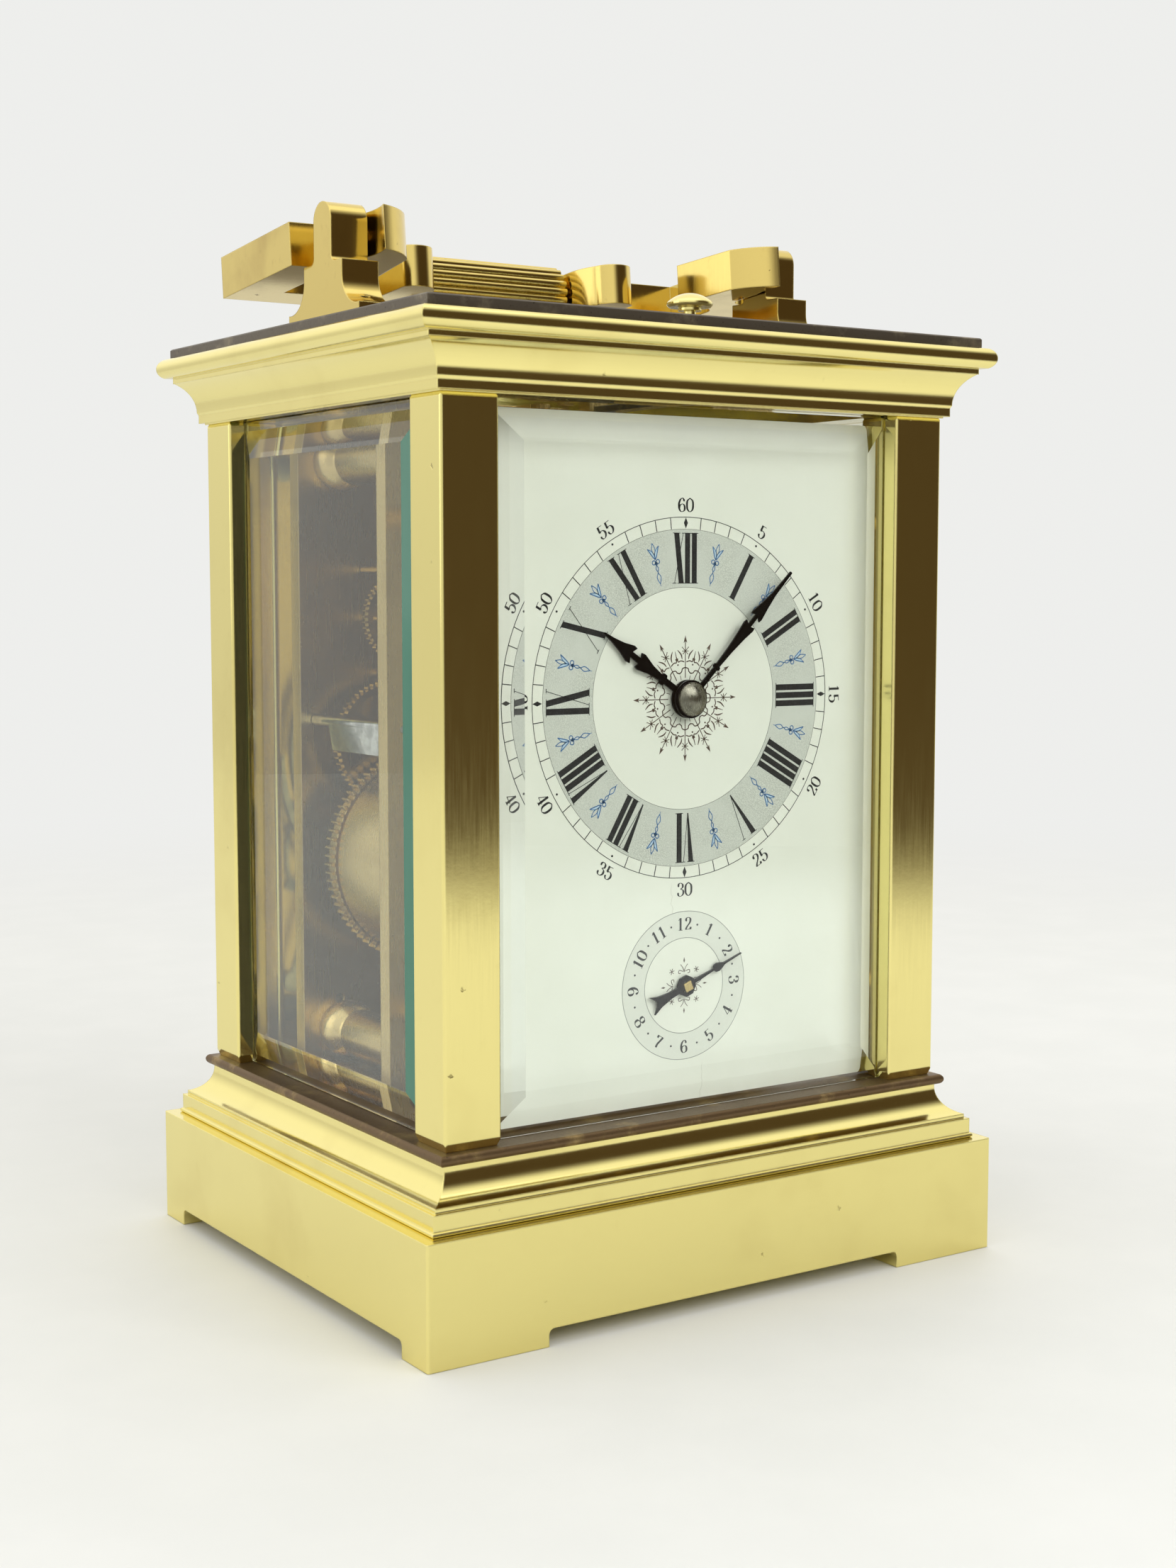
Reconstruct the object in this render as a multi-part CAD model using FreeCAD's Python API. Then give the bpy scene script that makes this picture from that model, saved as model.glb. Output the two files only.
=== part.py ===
import FreeCAD, Part
import math
import os

# Brass carriage clock with a bevelled glass case, a folding handle, a repeat button,
# a striking movement with a platform escapement, and an alarm dial.
# Millimetres. X to the right, the dial faces -Y, Z up, base underside at Z = 0.

os.makedirs("parts", exist_ok=True)

V = FreeCAD.Vector

# ---- case ----
BASE_HALF_X = 48.0
BASE_HALF_Y = 41.9
PLINTH_TOP = 16.59
FOOT_HEIGHT = 2.39
FOOT_LENGTH_X = 18.1
FOOT_LENGTH_Y = 17.2
PLINTH_WALL = 7.5
LIP_INSET = 4.9
LIP_BOTTOM = 24.5
LIP_TOP = 25.9
PILLAR_OUT_X = 41.8
PILLAR_OUT_Y = 35.7
PILLAR_WIDTH = 8.53
PILLAR_DEPTH = 8.12
PILLAR_TOP = 122.8
PILLAR_FOOT = 1.2
PILLAR_HEAD = 0.48
FOOT_CHAMFER = 0.45
HEAD_CHAMFER = 0.25
CORNICE_TOP = 132.68
CORNICE_RING_BOTTOM = 130.2
CORNICE_CAVITY_X = 32.0
CORNICE_CAVITY_Y = 31.3
SLAB_INSET = 2.2
SLAB_TOP = 134.17
TOP_OPENING_X = 25.5
TOP_OPENING_Y = 18.5

# ---- glasses ----
GLASS_THICKNESS = 2.4
GLASS_EDGE = 1.0
GLASS_BORDER = 1.25
BEVEL_WIDTH = 4.2
FRONT_GLASS_BACK = -32.1
SIDE_GLASS_INSIDE = 38.2
GROOVE_DEPTH = 1.1
GROOVE_GAP = 0.08
GLASS_BOTTOM = 26.0
GLASS_TOP = 122.65

# ---- rear door ----
DOOR_HALF_X = 33.2
DOOR_BOTTOM = 26.1
DOOR_TOP = 122.6
DOOR_INSIDE = 30.7
DOOR_THICKNESS = 4.6
DOOR_RAIL = 6.5
HINGE_PIN_RADIUS = 1.0
HINGE_PIN_REACH = 1.6
RUNNING_GAP = 0.05

# ---- handle and its brackets ----
BRACKET_IN = 34.67
BRACKET_OUT = 40.27
PIVOT_Y = -0.64
PIVOT_Z = 146.68
UPRIGHT_HALF = 2.64
UPRIGHT_TOP = 151.0
LEDGE_HALF = 5.75
LEDGE_TOP = 142.69
LEDGE_BOTTOM = 140.68
BRACKET_FOOT_HALF = 10.6
BRACKET_FOOT_TOP = 136.5
HANDLE_TILT = 5.2
HANDLE_THICKNESS = 6.08
HANDLE_PIN_RADIUS = 1.25
GRIP_AXIS = 24.6
GRIP_RADIUS = 4.6
GRIP_HALF_LENGTH = 12.8
GRIP_REEDS = 20
REED_RADIUS = 0.62
BRACKET_SCREW_RADIUS = 1.2
BRACKET_SCREW_OFFSET = 6.0

# ---- repeat button ----
BUTTON_Y = -30.9
BUTTON_CAP_RADIUS = 3.15
BUTTON_CAP_BOTTOM = 136.3
BUTTON_CAP_RIM = 137.15
BUTTON_CAP_TOP = 138.2
BUTTON_STEM_RADIUS = 0.85
BUTTON_STEM_BOTTOM = 124.5
BUSH_RADIUS = 2.4
BUSH_TOP = 134.6

# ---- dial and hands ----
DIAL_FRONT = -29.2
DIAL_BACK = -28.2
DIAL_HALF_X = 32.8
DIAL_BOTTOM = 27.0
DIAL_TOP = 121.0
CENTRE_Z = 83.0
ALARM_Z = 42.76
HOUR_HAND = (-29.9, -29.6)
MINUTE_HAND = (-30.7, -30.4)
ALARM_HAND = (-29.9, -29.55)
HOUR_ANGLE = 303.75
MINUTE_ANGLE = 45.0
ALARM_ANGLE = 68.4

# ---- movement frame ----
PLATE_HALF_X = 33.0
PLATE_BOTTOM = 27.0
PLATE_TOP = 121.5
FRONT_PLATE = (-7.4, -4.8)
BACK_PLATE = (19.6, 22.2)
MOVEMENT_PILLAR_RADIUS = 3.6
MOVEMENT_PILLAR_X = 26.6
MOVEMENT_PILLAR_LOW = 31.6
MOVEMENT_PILLAR_HIGH = 116.8

# ---- trains: teeth, module ----
BARREL_X = 16.4
BARREL_Z = 58.0
DRUM_RADIUS = 15.0
DRUM = (-3.4, 11.0)
GREAT_TEETH = 78
GREAT_MODULE = 0.40
GREAT_WHEEL = (11.6, 13.6)
INTERMEDIATE_TEETH = 70
INTERMEDIATE_MODULE = 0.32
CENTRE_TEETH = 64
CENTRE_MODULE = 0.35
THIRD_TEETH = 60
THIRD_MODULE = 0.36
STRIKE_TWO_TEETH = 60
STRIKE_TWO_MODULE = 0.30
STRIKE_THREE_TEETH = 56
STRIKE_THREE_MODULE = 0.28
STRIKE_FOUR_TEETH = 48
STRIKE_FOUR_MODULE = 0.26
GREAT_PINION = 10
CENTRE_PINION = 10
THIRD_PINION = 8
CONTRATE_PINION = 8
STRIKE_THREE_PINION = 8
STRIKE_FOUR_PINION = 7
FLY_PINION = 7
CANNON_TEETH = 12
MINUTE_WHEEL_TEETH = 36
CANNON_MODULE = 0.35
MINUTE_PINION_TEETH = 10
HOUR_WHEEL_TEETH = 40
HOUR_MODULE = 0.336
CONTRATE_Z = 107.3
CONTRATE_RADIUS = 11.0
CONTRATE_TEETH = 63
ARBOR_RADIUS = 0.7
FLY_ARBOR_RADIUS = 0.55
PIVOT_SHARE = 0.6
PIVOT_GAP = 0.04
CENTRE_SHAFT_RADIUS = 1.0
HAND_ARBOR_RADIUS = 1.3
HOUR_PIPE_RADIUS = 1.9
BARREL_SHAFT_RADIUS = 2.0
BARREL_PIVOT_RADIUS = 1.5
SQUARE_HALF = 0.75
# where the wheels stand between the plates: low wheels, strike third, third, strike warning
LOW_WHEELS = (14.6, 15.8)
LOW_PINIONS = (11.3, 14.6)
LOW_LEAVES = (14.2, 16.2)
CENTRE_DISC = (-3.6, -2.4)
CENTRE_LEAVES = (-4.0, -1.8)
THIRD_DISC = (6.0, 7.2)
THIRD_LEAVES = (5.6, 7.8)
STRIKE_THREE_DISC = (2.0, 3.2)
STRIKE_THREE_LEAVES = (1.6, 3.6)
STRIKE_FOUR_DISC = (8.0, 9.0)
STRIKE_FOUR_LEAVES = (7.6, 9.4)
FLY_VANE = (-2.0, 6.4)
FLY_HALF_WIDTH = 4.2
# addendum and dedendum in modules, then shares of the pitch at the pitch line, tip and root
WHEEL_TOOTH = (0.85, 1.00, 0.42, 0.16, 0.46)
PINION_TOOTH = (0.50, 1.15, 0.40, 0.20, 0.30)

# ---- platform escapement ----
PLATFORM = (121.5, 122.8)
ESCAPE_Y = 13.95
BALANCE_Y = 0.5
LEVER_Y = 7.6
ESCAPE_LEVEL = (124.2, 124.6)
ESCAPE_TEETH = 15
ESCAPE_RADIUS = 4.1
ESCAPE_ROOT = 3.2
ESCAPE_LEAVES = 7
ESCAPE_PINION = (116.4, 119.6)
BRIDGE = (125.1, 125.9)
BRIDGE_HALF_X = 8.0
BRIDGE_HALF_Y = 1.4
BALANCE_RADIUS = 6.4
BALANCE_RIM = (126.2, 127.0)
BALANCE_SCREWS = 12
HAIRSPRING = (127.3, 127.65)
COCK = (128.3, 129.3)

# ---- gong and hammer ----
GONG_Z = 72.0
GONG = (24.4, 25.6)
GONG_FIRST_RADIUS = 24.0
GONG_PITCH = 2.2
GONG_WIDTH = 1.0
GONG_END_X = 27.4
HAMMER_PIVOT = (-27.0, 36.0)
HAMMER_HEAD = (-22.6, 50.6)
HAMMER = (24.3, 25.7)
HAMMER_ARBOR_RADIUS = 0.7

# ---- levers and studs on the plates ----
REPEAT_PIVOT = (-14.0, 117.0)
REPEAT_STUD_RADIUS = 0.9
LIFTING_ARBOR = (-30.4, 78.6)
LIFTING_RADIUS = 0.9
LIFTING_PIVOT_RADIUS = 0.5
MINUTE_STUD_RADIUS = 0.7
MOVEMENT_SCREW_RADIUS = 1.2
CASE_SCREW_RADIUS = 1.4

# ---- places worked out from the sizes above ----
PILLAR_X = PILLAR_OUT_X - PILLAR_WIDTH / 2
PILLAR_Y = PILLAR_OUT_Y - PILLAR_DEPTH / 2
DOOR_AXIS = (-DOOR_HALF_X + DOOR_THICKNESS / 2, DOOR_INSIDE + DOOR_THICKNESS / 2)
CORNERS = ((-1, -1), (1, -1), (-1, 1), (1, 1))
CORNER_NAMES = ("front_left", "front_right", "back_left", "back_right")
INSIDE_PLATES = (FRONT_PLATE[1] + 0.2, BACK_PLATE[0] - 0.2)


def box(x0, x1, y0, y1, z0, z1):
    return Part.makeBox(x1 - x0, y1 - y0, z1 - z0, V(x0, y0, z0))


def rod_x(radius, y, z, x0, x1):
    return Part.makeCylinder(radius, x1 - x0, V(x0, y, z), V(1, 0, 0))


def rod_y(radius, x, z, y0, y1):
    return Part.makeCylinder(radius, y1 - y0, V(x, y0, z), V(0, 1, 0))


def rod_z(radius, x, y, z0, z1):
    return Part.makeCylinder(radius, z1 - z0, V(x, y, z0), V(0, 0, 1))


def loop(points, place):
    """Closed face; a point written (u, v, "via") is the middle of an arc between its neighbours."""
    edges = []
    count = len(points)
    i = 0
    while i < count:
        start = place(points[i])
        following = points[(i + 1) % count]
        if len(following) == 3:
            end = place(points[(i + 2) % count])
            edges.append(Part.Arc(start, place(following), end).toShape())
            i += 2
        else:
            edges.append(Part.makeLine(start, place(following)))
            i += 1
    return Part.Face(Part.Wire(edges))


def extrude_x(points, x0, x1):
    return loop(points, lambda p: V(x0, p[0], p[1])).extrude(V(x1 - x0, 0, 0))


def extrude_y(points, y0, y1):
    return loop(points, lambda p: V(p[0], y0, p[1])).extrude(V(0, y1 - y0, 0))


def extrude_z(points, z0, z1):
    return loop(points, lambda p: V(p[0], p[1], z0)).extrude(V(0, 0, z1 - z0))


def both_sides(profile, half):
    """A profile of (inset, z) from the bottom up, with its mirror image, as one outline."""
    right = [(half - p[0],) + tuple(p[1:]) for p in profile]
    left = [(p[0] - half,) + tuple(p[1:]) for p in reversed(profile)]
    return right + left


def moulding(profile, half_x=BASE_HALF_X, half_y=BASE_HALF_Y):
    """Rectangular moulding with mitred corners from a profile of (inset, z)."""
    along_y = extrude_y(both_sides(profile, half_x), -half_y - 5, half_y + 5)
    along_x = extrude_x(both_sides(profile, half_y), -half_x - 5, half_x + 5)
    return along_y.common(along_x)


def turned(profile, origin, axis):
    """Solid of revolution: profile of (radius, distance along the axis), closed on the axis."""
    side = V(0, 0, 1) if abs(axis.z) < 0.5 else V(1, 0, 0)
    face = loop(profile, lambda p: origin + side * p[0] + axis * p[1])
    return face.revolve(origin, axis, 360)


def dome(base_radius, height, base, axis):
    """Spherical cap standing on its flat base."""
    radius = (base_radius ** 2 + height ** 2) / (2 * height)
    ball = Part.makeSphere(radius, base + axis * (height - radius))
    return ball.common(Part.makeCylinder(base_radius + 1, height + 1, base, axis))


def fuse(first, *others):
    shape = first
    for other in others:
        shape = shape.fuse(other)
    return shape.removeSplitter()


def cut(shape, *tools):
    for tool in tools:
        shape = shape.cut(tool)
    return shape


def group(shapes):
    return Part.makeCompound(shapes)


def mirror_x(shape):
    return shape.mirror(V(0, 0, 0), V(1, 0, 0))


def save(shape, node):
    shape.exportStep("parts/" + node + ".step")


def meet(a, radius_a, b, radius_b, side):
    """The point at these distances from a and b, on the side given by the sign."""
    dx, dz = b[0] - a[0], b[1] - a[1]
    span = math.hypot(dx, dz)
    along = (radius_a ** 2 - radius_b ** 2 + span ** 2) / (2 * span)
    off = side * math.sqrt(radius_a ** 2 - along ** 2)
    return (a[0] + (along * dx - off * dz) / span, a[1] + (along * dz + off * dx) / span)


def step_from(a, distance, degrees):
    angle = math.radians(degrees)
    return (a[0] + distance * math.cos(angle), a[1] + distance * math.sin(angle))


def direction(a, b):
    return math.atan2(b[1] - a[1], b[0] - a[0])


def spacing(wheel_teeth, pinion_teeth, module):
    return (wheel_teeth + pinion_teeth) * module / 2


# ------------------------------------------------------------------ trains

CENTRE = (0.0, CENTRE_Z)
ALARM = (0.0, ALARM_Z)
GOING_BARREL = (BARREL_X, BARREL_Z)
STRIKE_BARREL = (-BARREL_X, BARREL_Z)
GREAT_SPACING = spacing(GREAT_TEETH, GREAT_PINION, GREAT_MODULE)
INTERMEDIATE = meet(
    GOING_BARREL, GREAT_SPACING,
    CENTRE, spacing(INTERMEDIATE_TEETH, CENTRE_PINION, INTERMEDIATE_MODULE), -1)
CONTRATE = (0.0, CONTRATE_Z)
THIRD = meet(
    CENTRE, spacing(CENTRE_TEETH, THIRD_PINION, CENTRE_MODULE),
    CONTRATE, spacing(THIRD_TEETH, CONTRATE_PINION, THIRD_MODULE), 1)
STRIKE_TWO = step_from(STRIKE_BARREL, GREAT_SPACING, 103)
STRIKE_THREE = step_from(
    STRIKE_TWO, spacing(STRIKE_TWO_TEETH, STRIKE_THREE_PINION, STRIKE_TWO_MODULE), 85)
STRIKE_FOUR = step_from(
    STRIKE_THREE, spacing(STRIKE_THREE_TEETH, STRIKE_FOUR_PINION, STRIKE_THREE_MODULE), 105)
FLY = step_from(STRIKE_FOUR, spacing(STRIKE_FOUR_TEETH, FLY_PINION, STRIKE_FOUR_MODULE), 95)
MINUTE_STUD = step_from(CENTRE, spacing(MINUTE_WHEEL_TEETH, CANNON_TEETH, CANNON_MODULE), -60)


def toothed(teeth, module, tooth, centre, span, tooth_at):
    """Straight toothed disc in the XZ plane with one tooth centred at the angle tooth_at."""
    addendum, dedendum, pitch_share, tip_share, root_share = tooth
    pitch_radius = teeth * module / 2
    tip = pitch_radius + addendum * module
    root = pitch_radius - dedendum * module
    step = 2 * math.pi / teeth
    flank = ((root, -root_share), (pitch_radius, -pitch_share), (tip, -tip_share),
             (tip, tip_share), (pitch_radius, pitch_share), (root, root_share))
    points = []
    for i in range(teeth):
        for radius, share in flank:
            angle = tooth_at + i * step + share * step / 2
            points.append((centre[0] + radius * math.cos(angle), centre[1] + radius * math.sin(angle)))
    return extrude_y(points, span[0], span[1])


def wheel(teeth, module, centre, mate, span):
    """A wheel with a tooth on the line to its mate."""
    return toothed(teeth, module, WHEEL_TOOTH, centre, span, direction(centre, mate))


def pinion(teeth, module, centre, mate, span):
    """A pinion with a gap on the line to its mate."""
    return toothed(teeth, module, PINION_TOOTH, centre, span, direction(centre, mate) + math.pi / teeth)


def crossed_out(disc, centre, span, rim, hub, spokes, spoke_width, turn=0.0):
    """The disc with windows between its rim and hub, leaving spokes."""
    ring = cut(rod_y(rim, centre[0], centre[1], span[0] - 1, span[1] + 1),
               rod_y(hub, centre[0], centre[1], span[0] - 2, span[1] + 2))
    for i in range(spokes):
        spoke = box(0, rim + 1, span[0] - 2, span[1] + 2, -spoke_width / 2, spoke_width / 2)
        spoke.rotate(V(0, 0, 0), V(0, 1, 0), turn + 360.0 * i / spokes)
        spoke.translate(V(centre[0], 0, centre[1]))
        ring = ring.cut(spoke)
    return disc.cut(ring)


def arbor(centre, y0, y1, radius=ARBOR_RADIUS):
    """Arbor with thinner pivots where it runs in the two plates."""
    pivot = radius * PIVOT_SHARE
    body = rod_y(radius, centre[0], centre[1], y0, y1)
    ends = rod_y(pivot, centre[0], centre[1], y0 - 2.6, y1 + 2.6)
    return fuse(body, ends)


def going_train():
    """Barrel, intermediate, centre, third and contrate wheels."""
    parts = {}
    disc = wheel(INTERMEDIATE_TEETH, INTERMEDIATE_MODULE, INTERMEDIATE, CENTRE, LOW_WHEELS)
    disc = crossed_out(disc, INTERMEDIATE, LOW_WHEELS, 9.6, 2.9, 5, 1.5)
    leaves = pinion(GREAT_PINION, GREAT_MODULE, INTERMEDIATE, GOING_BARREL, LOW_PINIONS)
    parts["intermediate_wheel"] = fuse(disc, leaves, arbor(INTERMEDIATE, *INSIDE_PLATES))

    disc = wheel(CENTRE_TEETH, CENTRE_MODULE, CENTRE, THIRD, CENTRE_DISC)
    disc = crossed_out(disc, CENTRE, CENTRE_DISC, 9.8, 3.0, 5, 1.5, 36)
    leaves = pinion(CENTRE_PINION, INTERMEDIATE_MODULE, CENTRE, INTERMEDIATE, LOW_LEAVES)
    cannon = pinion(CANNON_TEETH, CANNON_MODULE, CENTRE, MINUTE_STUD, (-12.6, -10.8))
    shaft = fuse(
        rod_y(HAND_ARBOR_RADIUS, CENTRE[0], CENTRE[1], MINUTE_HAND[0], -10.8),
        rod_y(CENTRE_SHAFT_RADIUS, CENTRE[0], CENTRE[1], -10.8, 25.0),
        box(-SQUARE_HALF, SQUARE_HALF, 25.0, 27.6, CENTRE_Z - SQUARE_HALF, CENTRE_Z + SQUARE_HALF))
    parts["centre_wheel"] = fuse(disc, leaves, cannon, shaft)

    disc = wheel(THIRD_TEETH, THIRD_MODULE, THIRD, CONTRATE, THIRD_DISC)
    disc = crossed_out(disc, THIRD, THIRD_DISC, 9.3, 2.6, 5, 1.4, 15)
    leaves = pinion(THIRD_PINION, CENTRE_MODULE, THIRD, CENTRE, CENTRE_LEAVES)
    parts["third_wheel"] = fuse(disc, leaves, arbor(THIRD, *INSIDE_PLATES))

    leaves = pinion(CONTRATE_PINION, THIRD_MODULE, CONTRATE, THIRD, THIRD_LEAVES)
    parts["contrate_wheel"] = fuse(crown_wheel(), leaves, arbor(CONTRATE, *INSIDE_PLATES))
    return parts


def crown_wheel():
    """Contrate wheel: teeth stand up from the rim, parallel to the arbor."""
    span = (9.4, 10.3)
    disc = rod_y(CONTRATE_RADIUS, CONTRATE[0], CONTRATE[1], *span)
    disc = crossed_out(disc, CONTRATE, span, CONTRATE_RADIUS - 1.4, 2.4, 5, 1.4, 8)
    rim = cut(rod_y(CONTRATE_RADIUS, CONTRATE[0], CONTRATE[1], span[1], 12.6),
              rod_y(CONTRATE_RADIUS - 1.1, CONTRATE[0], CONTRATE[1], span[1] - 1, 13.6))
    gaps = []
    width = math.pi * CONTRATE_RADIUS / CONTRATE_TEETH
    for i in range(CONTRATE_TEETH):
        gap = box(CONTRATE_RADIUS - 2, CONTRATE_RADIUS + 1, 11.3, 13.0, -width / 2, width / 2)
        gap.rotate(V(0, 0, 0), V(0, 1, 0), 360.0 * i / CONTRATE_TEETH)
        gap.translate(V(CONTRATE[0], 0, CONTRATE[1]))
        gaps.append(gap)
    return fuse(disc, rim.cut(group(gaps)))


def barrel(centre, mate):
    """Spring barrel: drum with a raised rim, cap and great wheel, running on its arbor."""
    drum = rod_y(DRUM_RADIUS, centre[0], centre[1], *DRUM)
    cap = rod_y(DRUM_RADIUS - 1.1, centre[0], centre[1], DRUM[0] - 0.5, DRUM[0])
    neck = rod_y(DRUM_RADIUS - 0.6, centre[0], centre[1], DRUM[1], GREAT_WHEEL[0])
    teeth = wheel(GREAT_TEETH, GREAT_MODULE, centre, mate, GREAT_WHEEL)
    boss = rod_y(3.0, centre[0], centre[1], DRUM[0] - 0.9, GREAT_WHEEL[1] + 0.5)
    bore = rod_y(BARREL_SHAFT_RADIUS + RUNNING_GAP, centre[0], centre[1], DRUM[0] - 2, GREAT_WHEEL[1] + 2)
    window = rod_y(1.6, centre[0] - 9.5, centre[1] + 6.0, DRUM[1] - 1.2, GREAT_WHEEL[1] + 2)
    return cut(fuse(drum, cap, neck, teeth, boss), bore, window)


def winding_arbor(centre):
    """Barrel arbor with its ratchet wheel behind the back plate and a winding square."""
    shaft = fuse(
        rod_y(BARREL_SHAFT_RADIUS, centre[0], centre[1], FRONT_PLATE[1] + 0.3, BACK_PLATE[0] - 0.3),
        rod_y(BARREL_PIVOT_RADIUS, centre[0], centre[1], FRONT_PLATE[0], BACK_PLATE[1] + 2.4))
    square = box(centre[0] - 1.05, centre[0] + 1.05, BACK_PLATE[1] + 2.4, 28.6,
                 centre[1] - 1.05, centre[1] + 1.05)
    points = []
    teeth = 18
    for i in range(teeth):
        start = 2 * math.pi * i / teeth
        points.append((centre[0] + 5.4 * math.cos(start), centre[1] + 5.4 * math.sin(start)))
        back = start + 0.85 * 2 * math.pi / teeth
        points.append((centre[0] + 4.6 * math.cos(back), centre[1] + 4.6 * math.sin(back)))
    ratchet = extrude_y(points, BACK_PLATE[1] + 0.3, BACK_PLATE[1] + 1.5)
    return fuse(shaft, square, ratchet)


def click(centre, side):
    """Click with its screw and a curved spring, beside a ratchet wheel."""
    def at(dx, dz):
        return (centre[0] + side * dx, centre[1] + dz)

    y0, y1 = BACK_PLATE[1], BACK_PLATE[1] + 1.4
    x, z = at(7.4, 5.2)
    body = rod_y(1.5, x, z, y0, y1)
    nose = extrude_y([at(6.3, 5.9), at(8.4, 4.1), at(4.9, 2.75)], y0, y1)
    head = rod_y(0.9, x, z, y1, y1 + 0.5)
    strip = extrude_y([at(9.1, -6.5), at(9.7, -1.0) + ("via",), at(8.1, 4.4),
                       at(8.6, 4.6), at(10.2, -1.0) + ("via",), at(9.6, -6.5)], y0, y0 + 0.7)
    foot = rod_y(0.9, *at(9.35, -7.0), y0, y0 + 1.0)
    return fuse(body, nose, head, strip, foot)


def clicks():
    return group([click(GOING_BARREL, 1), click(STRIKE_BARREL, -1)])


def strike_train():
    parts = {}
    disc = wheel(STRIKE_TWO_TEETH, STRIKE_TWO_MODULE, STRIKE_TWO, STRIKE_THREE, LOW_WHEELS)
    disc = crossed_out(disc, STRIKE_TWO, LOW_WHEELS, 7.7, 2.7, 5, 1.3)
    leaves = pinion(GREAT_PINION, GREAT_MODULE, STRIKE_TWO, STRIKE_BARREL, LOW_PINIONS)
    parts["strike_second_wheel"] = fuse(disc, leaves, arbor(STRIKE_TWO, *INSIDE_PLATES))

    disc = wheel(STRIKE_THREE_TEETH, STRIKE_THREE_MODULE, STRIKE_THREE, STRIKE_FOUR, STRIKE_THREE_DISC)
    disc = crossed_out(disc, STRIKE_THREE, STRIKE_THREE_DISC, 6.6, 2.3, 5, 1.2, 20)
    leaves = pinion(STRIKE_THREE_PINION, STRIKE_TWO_MODULE, STRIKE_THREE, STRIKE_TWO, LOW_LEAVES)
    parts["strike_third_wheel"] = fuse(disc, leaves, arbor(STRIKE_THREE, *INSIDE_PLATES))

    disc = wheel(STRIKE_FOUR_TEETH, STRIKE_FOUR_MODULE, STRIKE_FOUR, FLY, STRIKE_FOUR_DISC)
    disc = crossed_out(disc, STRIKE_FOUR, STRIKE_FOUR_DISC, 5.1, 2.0, 4, 1.1, 10)
    leaves = pinion(STRIKE_FOUR_PINION, STRIKE_THREE_MODULE, STRIKE_FOUR, STRIKE_THREE, STRIKE_THREE_LEAVES)
    parts["strike_warning_wheel"] = fuse(disc, leaves, arbor(STRIKE_FOUR, *INSIDE_PLATES))

    leaves = pinion(FLY_PINION, STRIKE_FOUR_MODULE, FLY, STRIKE_FOUR, STRIKE_FOUR_LEAVES)
    vane = box(FLY[0] - FLY_HALF_WIDTH, FLY[0] + FLY_HALF_WIDTH, *FLY_VANE, FLY[1] - 0.2, FLY[1] + 0.2)
    sleeve = rod_y(0.95, FLY[0], FLY[1], *FLY_VANE)
    parts["strike_fly"] = fuse(leaves, vane, sleeve, arbor(FLY, *INSIDE_PLATES, radius=FLY_ARBOR_RADIUS))
    return parts


def motion_work():
    """Hour wheel with its pipe, and the minute wheel with its pinion on a stud."""
    teeth = wheel(HOUR_WHEEL_TEETH, HOUR_MODULE, CENTRE, MINUTE_STUD, (-15.9, -14.7))
    pipe = rod_y(HOUR_PIPE_RADIUS, CENTRE[0], CENTRE[1], HOUR_HAND[0] + 0.02, -14.0)
    bore = rod_y(1.36, CENTRE[0], CENTRE[1], HOUR_HAND[0] - 1, -13.0)
    hour_wheel = cut(fuse(teeth, pipe), bore)
    teeth = wheel(MINUTE_WHEEL_TEETH, CANNON_MODULE, MINUTE_STUD, CENTRE, (-12.3, -11.1))
    leaves = pinion(MINUTE_PINION_TEETH, HOUR_MODULE, MINUTE_STUD, CENTRE, (-16.3, -12.3))
    bore = rod_y(0.75, MINUTE_STUD[0], MINUTE_STUD[1], -18, -8)
    return hour_wheel, cut(fuse(teeth, leaves), bore)


# ------------------------------------------------------------------ case

def plinth():
    body = box(-BASE_HALF_X, BASE_HALF_X, -BASE_HALF_Y, BASE_HALF_Y, 0, PLINTH_TOP)
    gap_x = BASE_HALF_X - FOOT_LENGTH_X
    gap_y = BASE_HALF_Y - FOOT_LENGTH_Y
    corner = 0.8
    notch = [(-gap_x, -1), (gap_x, -1), (gap_x, FOOT_HEIGHT - corner),
             (gap_x - 0.3 * corner, FOOT_HEIGHT - 0.3 * corner, "via"), (gap_x - corner, FOOT_HEIGHT),
             (-gap_x + corner, FOOT_HEIGHT),
             (-gap_x + 0.3 * corner, FOOT_HEIGHT - 0.3 * corner, "via"), (-gap_x, FOOT_HEIGHT - corner)]
    across = extrude_y(notch, -BASE_HALF_Y - 1, BASE_HALF_Y + 1)
    shrink = gap_y - gap_x
    side_notch = [(p[0] + math.copysign(shrink, p[0]),) + tuple(p[1:]) for p in notch]
    along = extrude_x(side_notch, -BASE_HALF_X - 1, BASE_HALF_X + 1)
    hollow = box(-BASE_HALF_X + PLINTH_WALL, BASE_HALF_X - PLINTH_WALL,
                 -BASE_HALF_Y + PLINTH_WALL, BASE_HALF_Y - PLINTH_WALL, -1, PLINTH_TOP + 1)
    solid = cut(body, across, along, hollow)
    corners = [e for e in solid.Edges
               if abs(abs(e.CenterOfMass.x) - BASE_HALF_X) < 0.01
               and abs(abs(e.CenterOfMass.y) - BASE_HALF_Y) < 0.01]
    return solid.makeFillet(0.35, corners)


def base_moulding():
    """Bead, band, step and cavetto between the plinth and the lip."""
    profile = [(2.17, PLINTH_TOP), (1.82, 16.92, "via"), (2.17, 17.24), (2.17, 19.45),
               (2.75, 19.45), (2.75, 20.07), (5.02, 21.545, "via"), (5.9, 24.1), (5.9, LIP_BOTTOM)]
    solid = moulding(profile)
    hollow = box(-38, 38, -32, 32, PLINTH_TOP - 1, 22.5)
    return cut(solid, hollow, *pillar_screw_shanks(CASE_SCREW_RADIUS + RUNNING_GAP))


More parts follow.
